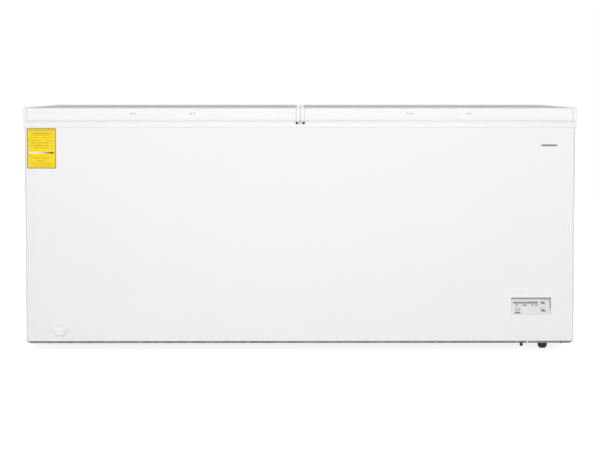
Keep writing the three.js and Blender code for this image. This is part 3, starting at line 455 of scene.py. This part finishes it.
# %% Small blanking plugs in the wrap, in pairs under the rim
def plug_row(name, spots, y, radius, proud, body, slot_name):
    """Round plugs at (x, z) spots in mm on the plane at y, each with its rim rolled over."""
    plugs = []
    for x, z in spots:
        plug = rod("plug", "y", (x * MM, y - proud / 2, z * MM), radius, proud, 16)
        choose(plug, "FACE", lambda c, n: n.y < -0.9)
        bpy.ops.mesh.bevel(offset=proud * 0.45, segments=2)
        done()
        plugs.append(plug)
    return fit_out(joined(name, plugs), body, slot_name, SLOT_FINISH[slot_name])


plug_row("wrap_plugs", [(x, 765) for x in (-374, -357, 564, 582)], FRONT, 2.4 * MM, 0.8 * MM,
         "cabinet", "white_plastic")

# %% [markdown]
# ## The rim and the crossbar
# The rim is one ABS moulding that covers the top of the foam wall. Its shape in the frame is right, but
# every edge is knife-sharp. A moulded part has a radius wherever the tool was milled, so the edges get a
# bevel, and the light then draws the fine bright line that the eye expects.

# %% Round the mouldings on top of the wall
round_off("rim_frame", "top_rim", 1.1 * MM, 3)
round_off("centre_crossbar", "crossbar", 1.0 * MM, 3)

# %% [markdown]
# ## The lids
# Each lid is a steel channel that runs from end cap to end cap, folded down at the front and the back with
# a 5 mm radius. A moulded liner closes it from below, with a pan that dips into the mouth of the store.
# Both are blocks: the channel loses three sides, and the liner's pan is pulled down out of a flat border.

# %% One lid, used for both sides
RIM_WIDTH, CROSSBAR_HALF, PAN_GAP = 82 * MM, 30.5 * MM, 12 * MM


def lid_sheet(side):
    low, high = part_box(f"{side}_lid_skin")
    channel = block(f"{side}_lid_sheet", low, high)
    choose(channel, "FACE", lambda c, n: n.z < -0.9 or abs(n.x) > 0.9)
    bpy.ops.mesh.delete(type="FACE")
    choose(channel, "EDGE", lambda c, d: abs(d.x) > 0.9 and c.z > high.z - MM)
    bpy.ops.mesh.bevel(offset=5 * MM, segments=6)
    done()
    modify(channel, "SOLIDIFY", thickness=sheet, offset=-1)
    bevel(channel, 0.2 * MM, 1, 60)
    fit_out(channel, f"{side}_lid", "cabinet_steel", lid_coat, f"{side}_lid_skin", angle=30)


def lid_inner(side):
    low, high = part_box(f"{side}_lid_liner")
    sheet_low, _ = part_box(f"{side}_lid_skin")
    tray = block(f"{side}_lid_tray", (low.x, low.y, sheet_low.z), (high.x, high.y, sheet_low.z + 2 * MM))
    mouth_in, split = RIM_WIDTH + MM, CROSSBAR_HALF + PAN_GAP
    x0 = LEFT + mouth_in if side == "left" else split
    x1 = -split if side == "left" else RIGHT - mouth_in
    y0, y1 = FRONT + mouth_in, BACK - mouth_in
    for point, normal in (((x0, 0, 0), (1, 0, 0)), ((x1, 0, 0), (1, 0, 0)),
                          ((0, y0, 0), (0, 1, 0)), ((0, y1, 0), (0, 1, 0))):
        choose(tray, "FACE", lambda c, n: True)
        bpy.ops.mesh.bisect(plane_co=point, plane_no=normal)
        done()
    choose(tray, "FACE", lambda c, n: n.z < -0.9 and x0 < c.x < x1 and y0 < c.y < y1)
    bpy.ops.mesh.extrude_region_move(TRANSFORM_OT_translate={"value": (0, 0, low.z - sheet_low.z)})
    bpy.ops.mesh.inset(thickness=46 * MM)
    bpy.ops.mesh.extrude_region_move(TRANSFORM_OT_translate={"value": (0, 0, 1.3 * MM)})
    done()
    bevel(tray, 2.6 * MM, 3, 40)
    stand_in(f"{side}_lid_liner", tray, f"{side}_lid", angle=40)


for side in ("left", "right"):
    lid_sheet(side)
    lid_inner(side)
    lid = f"{side}_lid"
    round_off(f"{lid}_outer_cap", f"{side}_end_cap", 1.6 * MM, 3, lid)
    round_off(f"{lid}_inner_cap", f"{side}_meeting_cap", 1.2 * MM, 3, lid)
    round_off(f"{lid}_gasket", f"{side}_gasket", 1.8 * MM, 3, lid)

# %% Wiper lips at the front of the lids, and a soft strip in the split between them
# The gasket's outer lip stands near the lid's front edge, so the gap over the rim looks pale, not black.
for side in ("left", "right"):
    low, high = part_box(f"{side}_lid_skin")
    lip = block(f"{side}_wiper_lip", (low.x, low.y + 5 * MM, low.z - 5.4 * MM),
                (high.x, low.y + 7 * MM, low.z + MM))
    fit_out(lip, f"{side}_lid", "door_gasket", soft_pvc)
low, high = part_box("left_lid_inner_cap")
strip = block("split_strip", (high.x + 0.1 * MM, low.y + MM, low.z + 7 * MM),
              (high.x + 1.4 * MM, high.y - MM, high.z - 2 * MM))
fit_out(strip, "left_lid", "door_gasket", soft_pvc)

# %% Grey strips between each cap and the steel: a painted shadow line for the seam there
for side in ("left", "right"):
    low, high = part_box(f"{side}_lid_skin")
    ends = (low.x, high.x) if side == "left" else (high.x, low.x)
    seam_strips = [block("seam_strip", (x - 0.5 * MM, low.y - 0.1 * MM, low.z),
                   (x + 0.5 * MM, low.y + 2 * MM, high.z - 5 * MM)) for x in ends]
    fit_out(joined(f"{side}_cap_seam_shadow", seam_strips), f"{side}_lid", "door_gasket", seam_shadow_grey)

# %% Black blocks beside the crossbar's end, in the rim's pocket: painted shade for the empty gaps there
rim_low, rim_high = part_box("rim_frame")
pocket = [block("foam", (x - 3 * MM, rim_low.y + 0.6 * MM, rim_high.z - 7 * MM),
                (x + 3 * MM, rim_low.y + 10 * MM, rim_high.z - 0.4 * MM)) for x in (-12.2 * MM, 12.2 * MM)]
fit_out(joined("pocket_gap_shade", pocket), "cabinet", "black_plastic", black_abs)

# %% Dark blanking plugs in the lids' front flanges
# They close the screw holes for handles, which this freezer leaves unused.
lid_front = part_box("left_lid_skin")[0].y
for lid, places in (("left_lid", (-572, -561, -370, -359.6)), ("right_lid", (365, 376, 567, 577))):
    plug_row(f"{lid}_plugs", [(x, 820.5) for x in places], lid_front, 1.9 * MM, 0.5 * MM, lid,
             "black_plastic")

# %% [markdown]
# ## Screws
# Every screw on the cabinet is the same pan-head with a cross recess, so it is modelled once: a short
# cylinder, its face inset, its rim rolled over, and the cross stamped with two thin blocks. Each place then
# gets a copy, turned to face out of its sheet.

# %% One pan-head screw, pointing along -Y, and a way to set out copies
def pan_head(radius, height):
    head = rod("screw", "y", (0, -height / 2, 0), radius, height, 20)
    choose(head, "FACE", lambda c, n: n.y < -0.9)
    bpy.ops.mesh.bevel(offset=height * 0.6, segments=3)
    done()
    slot_half, arm = radius * 0.1, radius * 0.5
    cut_out(head, [block("cutter", (-arm, -2 * height, -slot_half), (arm, -height * 0.45, slot_half)),
                   block("cutter", (-slot_half, -2 * height, -arm), (slot_half, -height * 0.45, arm))])
    return head


def set_screws(name, spots, facing, radius, height, body="cabinet"):
    """Zinc-plated copies of the pan-head at the spots, facing +y, +x or -z."""
    pattern = pan_head(radius, height)
    spun = {"+y": lambda v: (-v.x, -v.y, v.z), "+x": lambda v: (-v.y, v.x, v.z),
            "-z": lambda v: (v.x, v.z, v.y)}[facing]
    twins = []
    for spot in spots:
        twin = copied(pattern)
        for vertex in twin.data.vertices:
            vertex.co = Vector(spun(vertex.co)) + Vector(spot)
        twins.append(twin)
    bpy.data.objects.remove(pattern)
    group = joined(name, twins)
    choose(group, "FACE", lambda c, n: True)
    bpy.ops.mesh.normals_make_consistent(inside=False)
    done()
    fit_out(group, body, "zinc_steel", bright_zinc)


# %% [markdown]
# ## The control panel
# A white frame clips into the front sheet, and a pale grey face slopes back inside it. Two keys, a lamp and
# a window sit in the face. The marks beside them are screen-printed, so they are thin pieces laid on the
# slope: each is drawn flat, and then every corner is pushed back to the face's depth at its own height.

# %% Frame, face and keys
round_off("control_bezel", "panel_frame", 0.45 * MM, 3)
round_off("control_face", "panel_face", 0.25 * MM)
round_off("display_window", "level_window", 0.3 * MM)
round_off("alarm_lamp", "alarm_lens", 0.5 * MM, 3)
for key in ("set", "mode"):
    round_off(f"{key}_button", f"{key}_key", 0.6 * MM, 3, f"{key}_button")

# %% Print on the sloping face, and painted shadow there
INK = 0.12 * MM
face_foot, face_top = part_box("control_face")
tilt = (face_top.y - 2 * MM - face_foot.y) / (face_top.z - face_foot.z)


def printed(name, shapes, lift, finish=ink_grey):
    """shapes are (x, z, width, height) in mm or finished pieces; they are laid on the slope. Most are print;
    the recess's shade strips are painted shadow.
    """
    parts = []
    for shape in shapes:
        if isinstance(shape, tuple):
            x, z, w, h = (v * MM for v in shape)
            parts.append(block("mark", (x - w / 2, -INK, z - h / 2), (x + w / 2, 0, z + h / 2)))
        else:
            parts.append(shape)
    mark = joined(name, parts)
    for vertex in mark.data.vertices:
        vertex.co.y += face_foot.y + (vertex.co.z - face_foot.z) * tilt - lift
    fit_out(mark, "cabinet", "black_plastic", finish)


def middle_of(node):
    """The node's middle across and upwards, in mm."""
    low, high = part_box(node)
    return (low.x + high.x) / 2 / MM, (low.z + high.z) / 2 / MM


LAMP_X, LAMP_Z = middle_of("alarm_lamp")
captions = [(740.4, 165, 7, 4), (767.5, 165, 14, 4), (795, 165, 8, 4), (809, 165, 10.5, 4)]
printed("level_captions", captions, 0)
first_segment, window_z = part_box("display_window")[0].x / MM + 5, middle_of("display_window")[1]
printed("level_segments", [(first_segment + 12 * i, window_z, 10, 4.4) for i in range(7)], 0.35 * MM)

# %% The lamp's dome mark: half a ring over a base line
def dome_mark():
    ring = rod("mark", "y", (LAMP_X * MM, -INK / 2, LAMP_Z * MM - MM), 5.6 * MM, INK, 36)
    cut_out(ring, [rod("cutter", "y", (LAMP_X * MM, 0, LAMP_Z * MM - MM), 3.9 * MM, 2 * MM, 36),
                   block("cutter", ((LAMP_X - 7) * MM, -MM, (LAMP_Z - 8) * MM),
                         ((LAMP_X + 7) * MM, MM, (LAMP_Z - 3) * MM))])
    return ring


printed("alarm_dome", [dome_mark()], 1.35 * MM)
printed("alarm_base", [(LAMP_X - 1, LAMP_Z - 11, 20, 4)], 0, finish=slate_ink_and_shade)
# A grey band across the top of the face: painted shadow of the recess's top lip.
printed("recess_painted_shadow", [(788, 188.8, 139.4, 9.6)], 0, finish=painted_shade_grey)
# Three slate strips down the recess's right side: painted shadow of its right wall.
printed("recess_wall_painted_shadow", [(851.5, 184, 1.8, 12), (853.5, 172, 1.8, 14), (855, 160, 1.8, 12)], 0,
        finish=slate_ink_and_shade)


def key_mark(key, spots):
    """Black marks on the flat front of a key; spots are (x, z, width, height) from its middle."""
    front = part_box(f"{key}_button")[0].y
    middle_x, middle_z = middle_of(f"{key}_button")
    parts = [block("mark", ((middle_x + x - w / 2) * MM, front - INK, (middle_z + z - h / 2) * MM),
                   ((middle_x + x + w / 2) * MM, front, (middle_z + z + h / 2) * MM))
             for x, z, w, h in spots]
    fit_out(joined(f"{key}_key_mark", parts), f"{key}_button", "black_plastic", ink_black)


key_mark("set", [(-0.5, -2, 11, 4), (-3.5, 1.6, 4, 3.6)])
key_mark("mode", [(0.5, -2.4, 10, 4.4), (-4, 1.4, 3.4, 4)])

# %% A plain grey lozenge near the top right corner, in place of any mark
# It stands where a maker would put a mark, and it says nothing.
badge_left, badge_right, badge_proud = 819 * MM, 873 * MM, 0.3 * MM
badge_foot, badge_top = 709.6 * MM, 715.4 * MM
badge = block("plain_badge", (badge_left, FRONT - badge_proud, badge_foot), (badge_right, FRONT, badge_top))
choose(badge, "EDGE", lambda c, d: abs(d.y) > 0.9)
bpy.ops.mesh.bevel(offset=(badge_top - badge_foot) * 0.499, segments=6)
done()
fit_out(badge, "cabinet", "black_plastic", ink_grey)

# %% [markdown]
# ## The energy sticker and its print
# The film is a thin block with rounded corners. Its rows are only bars: they give the look of a printed
# sheet from across a room, and there is nothing to read.

# %% Film, border, rows and scale
film = block("energy_sticker", sticker_low, sticker_high)
choose(film, "EDGE", lambda c, d: abs(d.y) > 0.9)
bpy.ops.mesh.bevel(offset=3 * MM, segments=4)
done()
stand_in("energy_label", film)
SHEET_X, SHEET_Z = sticker_low.x / MM, sticker_high.z / MM
SHEET_W, SHEET_H = (sticker_high.x - sticker_low.x) / MM, (sticker_high.z - sticker_low.z) / MM


def sticker_print(name, bars, finish):
    """bars are (left, top, width, height) in mm from the sticker's upper left corner."""
    thick = 0.1 * MM
    parts = [block("bar", ((SHEET_X + x) * MM, sticker_low.y - thick, (SHEET_Z - z - h) * MM),
                   ((SHEET_X + x + w) * MM, sticker_low.y, (SHEET_Z - z) * MM)) for x, z, w, h in bars]
    fit_out(joined(name, parts), "cabinet", "sticker", finish)


edge, margin = 3.1, 0.2
across, upright = SHEET_W - 2, SHEET_H - 2
sticker_print("sticker_border", [
    (1, margin, across, edge), (1, SHEET_H - margin - edge, across, edge),
    (margin, 1, edge, upright), (SHEET_W - margin - edge, 1, edge, upright)], ink_olive)
sticker_print("sticker_header", [(7 + 6.6 * i, 5.6, 4.2, 3) for i in range(13)], ink_olive)
rows = [(28, 13.5, 42, 1.6), (12, 17, 74, 2.2), (20, 22, 58, 2.4), (6, 30.5, 34, 1.8), (52, 30.5, 38, 1.8),
        (6, 41, 40, 1.8), (60, 41, 26, 1.8), (12, 48.5, 62, 2.6), (82, 48.5, 6, 2.6), (8, 57, 66, 2.6),
        (82, 57, 6, 2.6), (24, 65, 50, 2.2), (6, 88, 12, 1.6), (10, 97, 76, 1.6), (24, 102, 50, 1.6),
        (34, 110, 26, 2.6), (12, 117.5, 74, 1.6), (18, 122.5, 62, 1.6), (10, 128, 78, 1.6)]
sticker_print("sticker_rows", rows, ink_ochre)
sticker_print("sticker_scale", [(8, 81, SHEET_W - 16, 5.2)], scale_ink)

# %% [markdown]
# ## The drain cap
# It is a plain moulded knob that pulls straight out of the tube. A cylinder gets a rolled front edge, two
# insets draw its face out into a thin skirt, a neck holds it off the sheet, and a spigot plugs the tube.

# %% Turn the knob
def drain_knob():
    x, _, z = drain_at
    knob_radius, neck_radius, spigot_radius = 16 * MM, 12.4 * MM, 6.4 * MM
    proud, gap = FRONT - cap_low.y, 3.2 * MM
    knob = rod("drain_knob", "y", (x, FRONT - (proud + gap) / 2, z), knob_radius, proud - gap, 48)
    choose(knob, "EDGE", lambda c, d: abs(d.y) < 0.1 and c.y < cap_low.y + 0.1 * MM)
    bpy.ops.mesh.bevel(offset=4.5 * MM, segments=6)
    done()
    choose(knob, "FACE", lambda c, n: n.y < -0.99)
    bpy.ops.mesh.inset(thickness=2 * MM)
    bpy.ops.mesh.inset(thickness=1 * MM, depth=-0.8 * MM)
    done()
    neck = rod("neck", "y", (x, FRONT - 1.9 * MM, z), neck_radius, 3 * MM, 32)
    spigot = rod("spigot", "y", (x, FRONT + 8.8 * MM, z), spigot_radius, 18.4 * MM, 24)
    return joined("drain_knob", [knob, neck, spigot])


stand_in("drain_cap", drain_knob(), "drain_cap", angle=40)
round_off("drain_plug", "floor_plug", 0.6 * MM, body="drain_plug")

# %% [markdown]
# ## Hinges
# Each hinge is zinc-plated steel: a folded bracket with two ears on the cabinet, a riveted pin, and an arm
# that rolls round it and stands up the back of the lid. The frame has the shapes that carry the load; the
# pressed edges are softened, and screws hold both halves on.

# %% Brackets, arms and their screws
for side in ("left", "right"):
    for number in (1, 2):
        bracket = f"{side}_hinge_bracket_{number}"
        arm = f"{side}_hinge_arm_{number}"
        round_off(bracket, f"{bracket}_plate", 0.35 * MM, angle=30)
        round_off(arm, f"{arm}_leaf", 0.35 * MM, body=f"{side}_lid", angle=30)
        low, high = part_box(bracket)
        centre_x = (low.x + high.x) / 2
        plate_y = BACK + 3.3 * MM
        spots = [(centre_x + dx * MM, plate_y, low.z + dz * MM) for dx in (-13, 13) for dz in (12, 34, 56)]
        set_screws(f"{bracket}_screws", spots, "+y", 4.2 * MM, 1.8 * MM)
        leaf_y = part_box(f"{side}_lid_skin")[1].y + 2.8 * MM
        screw_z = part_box(arm)[1].z - 9 * MM
        spots = [(centre_x + dx * MM, leaf_y, screw_z) for dx in (-14, 14)]
        set_screws(f"{arm}_screws", spots, "+y", 3.6 * MM, 1.6 * MM, f"{side}_lid")

# %% [markdown]
# ## The back
# The back sheet is plain but for its row of louvres over the compressor. A louvre is lanced and pushed out
# by a press, so each slot has a hood over it that is open below.

# %% Louvre hoods and the screws round the back
slot_x0, slot_x1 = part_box("compressor_tray")[0].x + 39.7 * MM, RIGHT - 71.3 * MM
pan_bottom, first_slot, slot_pitch = 52.013 * MM, 80 * MM, 20 * MM


def hood(z):
    """A hood over one slot: a block with a rolled crown, open below and at the sheet."""
    shell = block("hood", (slot_x0 - 2 * MM, BACK, z - 1 * MM),
                  (slot_x1 + 2 * MM, BACK + 5 * MM, z + 9 * MM))
    choose(shell, "EDGE", lambda c, d: abs(d.x) > 0.9 and c.y > BACK + 4 * MM and c.z > z + 5 * MM)
    bpy.ops.mesh.bevel(offset=4.6 * MM, segments=4)
    done()
    choose(shell, "FACE", lambda c, n: n.z < -0.9 or n.y < -0.9)
    bpy.ops.mesh.delete(type="FACE")
    done()
    return modify(shell, "SOLIDIFY", thickness=0.8 * MM, offset=-1)


hoods = [hood(pan_bottom + first_slot + slot_pitch * i) for i in range(8)]
fit_out(joined("louvre_hoods", hoods), "cabinet", "cabinet_steel", powder_coat)
back_low, back_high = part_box("back_panel")
edge_in = 9 * MM
columns = [back_low.x + edge_in + i * (back_high.x - back_low.x - 2 * edge_in) / 8 for i in range(9)]
spots = [(x, BACK, z) for x in columns for z in (back_low.z + edge_in, back_high.z - edge_in - 8 * MM)]
spots += [(x, BACK, z * MM) for x in (columns[0], columns[-1]) for z in (230, 410, 590)]
set_screws("back_screws", spots, "+y", 3.6 * MM, 1.6 * MM)
round_off("cord_gland", "lead_gland", 0.6 * MM)

# %% The side grille with its four screws
round_off("side_vent_grille", "side_grille", 0.7 * MM)
grille_in = 7 * MM
spots = [(grille_high.x, y, z) for y in (grille_low.y + grille_in, grille_high.y - grille_in)
         for z in (grille_low.z + grille_in, grille_high.z - grille_in)]
set_screws("grille_screws", spots, "+x", 3.2 * MM, 1.4 * MM)

# %% [markdown]
# ## The base
# The pan and the compressor tray are galvanised, and only their folded rails show under the white wrap.
# Two fixings and a small lead clip can be seen on the front rail near the compressor.

# %% Pan, tray and fixings
# The pan's galvanised finish is set dark, as painted shade under the wrap.
round_off("base_pan", "pan_sheet", 0.3 * MM, 1)
round_off("compressor_tray", "tray_sheet", 0.3 * MM, 1)
rail, bolt_x, bolt_y = FRONT + 3 * MM, 757.5 * MM, FRONT + 14 * MM
bolt = joined("rail_bolt", [rod("bolt", "z", (bolt_x, bolt_y, 31 * MM), 5.6 * MM, 13 * MM, 6),
                            rod("washer", "z", (bolt_x, bolt_y, 36.4 * MM), 8 * MM, 1.6 * MM, 24)])
fit_out(bolt, "cabinet", "black_steel", black_oxide)
plug_row("rail_rivet", [(777, 40.5)], rail, 3.4 * MM, 1.8 * MM, "cabinet", "zinc_steel")
bpy.ops.mesh.primitive_torus_add(
    major_segments=24, minor_segments=8, major_radius=3.6 * MM, minor_radius=0.9 * MM,
    location=(892 * MM, rail + 0.6 * MM, 38.5 * MM), rotation=TURN["y"])
fit_out(placed("lead_clip"), "cabinet", "black_plastic", black_abs)

# %% [markdown]
# ## Casters
# The front pair swivel and the rear pair are fixed. A nylon wheel is turned or moulded with a rounded tread
# and a dished side, so its disc is inset twice, once inwards for the dish and once outwards for the hub.

# %% Wheels and their brackets
def caster_wheel(place):
    low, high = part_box(f"{place}_caster_wheel")
    axle = ((low.x + high.x) / 2, (low.y + high.y) / 2, high.z / 2)
    wheel = rod("wheel", "x", axle, high.z / 2, high.x - low.x, 48)
    choose(wheel, "EDGE", lambda c, d: abs(d.x) < 0.1)
    bpy.ops.mesh.bevel(offset=2.6 * MM, segments=4)
    done()
    choose(wheel, "FACE", lambda c, n: abs(n.x) > 0.99)
    bpy.ops.mesh.inset(thickness=2.2 * MM)
    bpy.ops.mesh.inset(thickness=0.6 * MM, depth=-1.8 * MM)
    bpy.ops.mesh.inset(thickness=4.6 * MM)
    bpy.ops.mesh.inset(thickness=0.4 * MM, depth=1.6 * MM)
    done()
    cut_out(wheel, [rod("cutter", "x", axle, 3.3 * MM, 60 * MM, 24)])
    stand_in(f"{place}_caster_wheel", wheel, f"{place}_wheel")


for place in ("front_left", "front_right", "rear_left", "rear_right"):
    caster_wheel(place)
for side in ("left", "right"):
    plate, bracket = f"front_{side}_caster_plate", f"rear_{side}_caster_bracket"
    round_off(plate, f"front_{side}_swivel_plate", 0.4 * MM)
    round_off(f"front_{side}_caster_fork", f"front_{side}_fork", 0.4 * MM, body=f"front_{side}_caster")
    round_off(bracket, f"rear_{side}_bracket", 0.4 * MM)
    for node in (plate, bracket):
        low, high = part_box(node)
        spots = [(x, y, high.z - 2.5 * MM) for x in (low.x + 8 * MM, high.x - 8 * MM)
                 for y in (low.y + 8 * MM, high.y - 8 * MM)]
        set_screws(f"{node}_screws", spots, "-z", 4 * MM, 2.6 * MM)

# %% [markdown]
# ## The compressor bay
# A hermetic compressor is two deep-drawn steel cups welded round the middle and stoved black. Little of it
# can be seen through the louvres, so its frame shape is enough once the drawn edges are rounded.

# %% Round the compressor and its pipes
round_off("compressor", "compressor_can", 3 * MM, 3, sharper_than=40)
round_off("starter_box", "starter_cover", 2 * MM, 3)
for pipe in ("discharge_pipe", "suction_pipe"):
    round_off(pipe, f"{pipe}_run", 0.15 * MM, 1, sharper_than=60, angle=50)
round_off("filter_drier", "drier_can", 0.8 * MM, sharper_than=40, angle=50)
round_off("drain_tube", "drain_run", 0.2 * MM, 1, sharper_than=60, angle=50)

# %% [markdown]
# ## The store
# The liner is folded from embossed aluminium sheet and sealed at its corners. Its floor steps up over the
# compressor bay. One block has the step cut out of it, loses its top, and gets soft folds and a thickness.

# %% Fold the liner
liner_low, liner_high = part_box("inner_liner")
floor_z, step_x, step_z = liner_low.z + sheet, 567 * MM, pan_bottom + 304 * MM
store = block("store_liner", (liner_low.x + sheet, liner_low.y + sheet, floor_z),
              (liner_high.x - sheet, liner_high.y - sheet, liner_high.z))
cut_out(store, [block("cutter", (step_x, liner_low.y - MM, floor_z - MM),
                      (liner_high.x + MM, liner_high.y + MM, step_z))])
choose(store, "FACE", lambda c, n: n.z > 0.9 and c.z > liner_high.z - MM)
bpy.ops.mesh.delete(type="FACE")
done()
bevel(store, 7 * MM, 4, 60)
modify(store, "SOLIDIFY", thickness=sheet, offset=1)
drain_x, drain_y = (v / 2 for v in (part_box("drain_plug")[0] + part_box("drain_plug")[1]).xy)
cut_out(store, [rod("cutter", "z", (drain_x, drain_y, floor_z), 9.4 * MM, 8 * MM)])
stand_in("inner_liner", store, angle=30)

# %% [markdown]
# ## The wire basket
# It is welded from plastic-coated steel wire. A heavy wire makes the frame that hangs on the rim's ledges,
# thinner ones are bent into wide U shapes both ways, and two rings tie the sides. Each wire is drawn as a
# path with small bends at its corners, thickened round, and turned into a mesh.

# %% Bend the wires
def bent(points, bend):
    """The same path with each corner cut to a small arc of four points."""
    path = [points[0]]
    for before, corner, after in zip(points, points[1:], points[2:]):
        a, b = (before - corner).normalized() * bend, (after - corner).normalized() * bend
        path += [corner + a * (1 - t) ** 2 + b * t ** 2 for t in (0, 0.33, 0.67, 1)]
    return path + [points[-1]]


def wire(points, radius, bend=5 * MM, closed=False):
    points = [Vector(p) for p in points]
    path = bent(points[-1:] + points + points[:1], bend)[1:-1] if closed else bent(points, bend)
    curve = bpy.data.curves.new("wire", "CURVE")
    curve.dimensions = "3D"
    curve.bevel_depth, curve.bevel_resolution = radius, 2
    curve.use_fill_caps = not closed
    spline = curve.splines.new("POLY")
    spline.points.add(len(path) - 1)
    for point, place in zip(spline.points, path):
        point.co = (*place, 1)
    spline.use_cyclic_u = closed
    piece = bpy.data.objects.new("wire", curve)
    bpy.context.collection.objects.link(piece)
    only(piece)
    bpy.ops.object.convert(target="MESH")
    return bpy.context.object


basket_low, basket_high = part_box("storage_basket")
thick, thin = 2.2 * MM, 1.6 * MM
ledge_z = basket_high.z - 2.3 * MM
hang, slope = 12 * MM, 14 * MM
x0, x1 = basket_low.x + thin, basket_high.x - thin
y0, y1 = basket_low.y + hang + thin, basket_high.y - hang - thin
foot_z, crown_z = basket_low.z + thin, basket_high.z - thin
rail_y0, rail_y1 = basket_low.y + thick, basket_high.y - thick
wires = [wire([(x0, rail_y0, ledge_z), (x1, rail_y0, ledge_z),
               (x1, rail_y1, ledge_z), (x0, rail_y1, ledge_z)], thick, 9 * MM, True)]
hoops, first_hoop = 10, 11 * MM
for i in range(hoops):
    x = x0 + first_hoop + i * (x1 - x0 - 2 * first_hoop) / (hoops - 1)
    wires.append(wire([(x, rail_y0, crown_z), (x, y0, crown_z), (x, y0 + slope, foot_z),
                       (x, y1 - slope, foot_z), (x, y1, crown_z), (x, rail_y1, crown_z)], thin))
cross_wires, first_cross, over_z = 19, slope + 8 * MM, foot_z + 2 * thin
for i in range(cross_wires):
    y = y0 + first_cross + i * (y1 - y0 - 2 * first_cross) / (cross_wires - 1)
    wires.append(wire([(x0, y, ledge_z), (x0, y, over_z), (x1, y, over_z), (x1, y, ledge_z)], thin))
inside = 2.6 * MM
for share in (0.34, 0.67):
    z, lean = foot_z + share * (crown_z - foot_z), slope * (1 - share)
    ring_y0, ring_y1 = y0 + lean + inside, y1 - lean - inside
    wires.append(wire([(x0 + inside, ring_y0, z), (x1 - inside, ring_y0, z),
                       (x1 - inside, ring_y1, z), (x0 + inside, ring_y1, z)], thin, 9 * MM, True))
stand_in("storage_basket", joined("wire_basket", wires), "basket", angle=60)

# %% [markdown]
# ## The room
# The floor and the world are white to the camera, so the freezer stands on a plain page. The floor is a
# diffuse grey, which takes the freezer's shadow, and it glows by itself to the rays that show it.

# %% Floor
def for_seen_rays(finish):
    """1 for rays that show the background: from the camera, or seen in gloss or through glass."""
    path = add_node(finish, "ShaderNodeLightPath")
    shiny = add_node(finish, "ShaderNodeMath", {
        0: path.outputs["Is Camera Ray"], 1: path.outputs["Is Glossy Ray"]}, operation="MAXIMUM")
    seen = add_node(finish, "ShaderNodeMath", {
        0: shiny.outputs[0], 1: path.outputs["Is Transmission Ray"]}, operation="MAXIMUM")
    return seen.outputs[0]


FLOOR_GLOW = 0.82
bpy.ops.mesh.primitive_plane_add(size=60, location=(0, 0, 0))
floor = placed("studio_floor")
floor_white = bpy.data.materials.new("floor_white")
floor_white.use_nodes = True
floor_shader = floor_white.node_tree.nodes["Principled BSDF"]
floor_shader.inputs["Base Color"].default_value = linear("#C8C8C8")
floor_shader.inputs["Roughness"].default_value = 1.0
floor_shader.inputs["Specular IOR Level"].default_value = 0.0
floor_shader.inputs["Emission Color"].default_value = (1, 1, 1, 1)
glow = add_node(floor_white, "ShaderNodeMath", {0: for_seen_rays(floor_white), 1: FLOOR_GLOW},
                operation="MULTIPLY")
floor_white.node_tree.links.new(glow.outputs[0], floor_shader.inputs["Emission Strength"])
floor.data.materials.append(floor_white)
floor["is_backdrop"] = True
print("floor is", floor.dimensions.x, "m across")

# %% World: white where it is seen; where it lights, a bright horizon under a dimmer ceiling
HORIZON, CEILING, SIDE_FLAGS = 0.84, 0.14, 0.3
world = bpy.data.worlds.new("studio_world")
bpy.context.scene.world = world
world.use_nodes = True
backdrop = world.node_tree.nodes["Background"]
backdrop.inputs["Color"].default_value = (1, 1, 1, 1)
direction = add_node(world, "ShaderNodeTexCoord").outputs["Generated"]
ways = add_node(world, "ShaderNodeSeparateXYZ", {"Vector": direction}).outputs
dimmed = add_node(world, "ShaderNodeMapRange", {"Value": ways["Z"], "To Min": HORIZON, "To Max": CEILING})
aside = add_node(world, "ShaderNodeMath", {0: ways["X"]}, operation="ABSOLUTE")
flagged = add_node(world, "ShaderNodeMath", {0: aside.outputs[0], 1: -SIDE_FLAGS, 2: 1.0},
                   operation="MULTIPLY_ADD")
lighting = add_node(world, "ShaderNodeMath", {0: dimmed.outputs["Result"], 1: flagged.outputs[0]},
                    operation="MULTIPLY")
level = add_node(world, "ShaderNodeMix", {
    "Factor": for_seen_rays(world), "A": lighting.outputs[0], "B": 1.0})
world.node_tree.links.new(level.outputs["Result"], backdrop.inputs["Strength"])
print("light from the horizon", HORIZON, "and from above", CEILING)

# %% [markdown]
# ## Light and camera
# A long softbox in front, a little above the freezer, does most of the work. It leaves the lid tops a shade
# darker than the front, which is what tells the two apart. A weak lamp behind keeps the back readable.

# %% Softboxes
def softbox(name, place, target, size, watts):
    bpy.ops.object.light_add(type="AREA", location=place)
    lamp = bpy.context.object
    lamp.name = name
    lamp.data.shape = "RECTANGLE"
    lamp.data.size, lamp.data.size_y = size
    lamp.data.energy = watts
    lamp.rotation_euler = (Vector(target) - Vector(place)).to_track_quat("-Z", "Y").to_euler()


softbox("front_softbox", (0.0, -5.2, 2.0), (0, 0, 0.5), (4.0, 1.6), 162)
softbox("back_softbox", (1.2, 5.0, 2.6), (0, 0, 0.4), (3.4, 1.6), 95)

# %% Camera
# A portrait-length lens from a standing child's height, tipped down a little. A small vertical shift keeps
# the freezer's ends nearly upright.
bpy.ops.object.camera_add(location=(-0.0083, -5.1045, 0.9176),
                          rotation=(math.radians(90 - 2.5), 0, math.radians(-0.267)))
camera = bpy.context.object
camera.data.sensor_width = 36
camera.data.lens = 84.01
camera.data.shift_x, camera.data.shift_y = -0.00716, -0.13161
camera.data.clip_end = 200
bpy.context.scene.camera = camera
bpy.context.scene.view_settings.view_transform = "Standard"
print("camera at", [round(v, 3) for v in camera.location])

# %% Sizes, and the end
low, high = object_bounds()
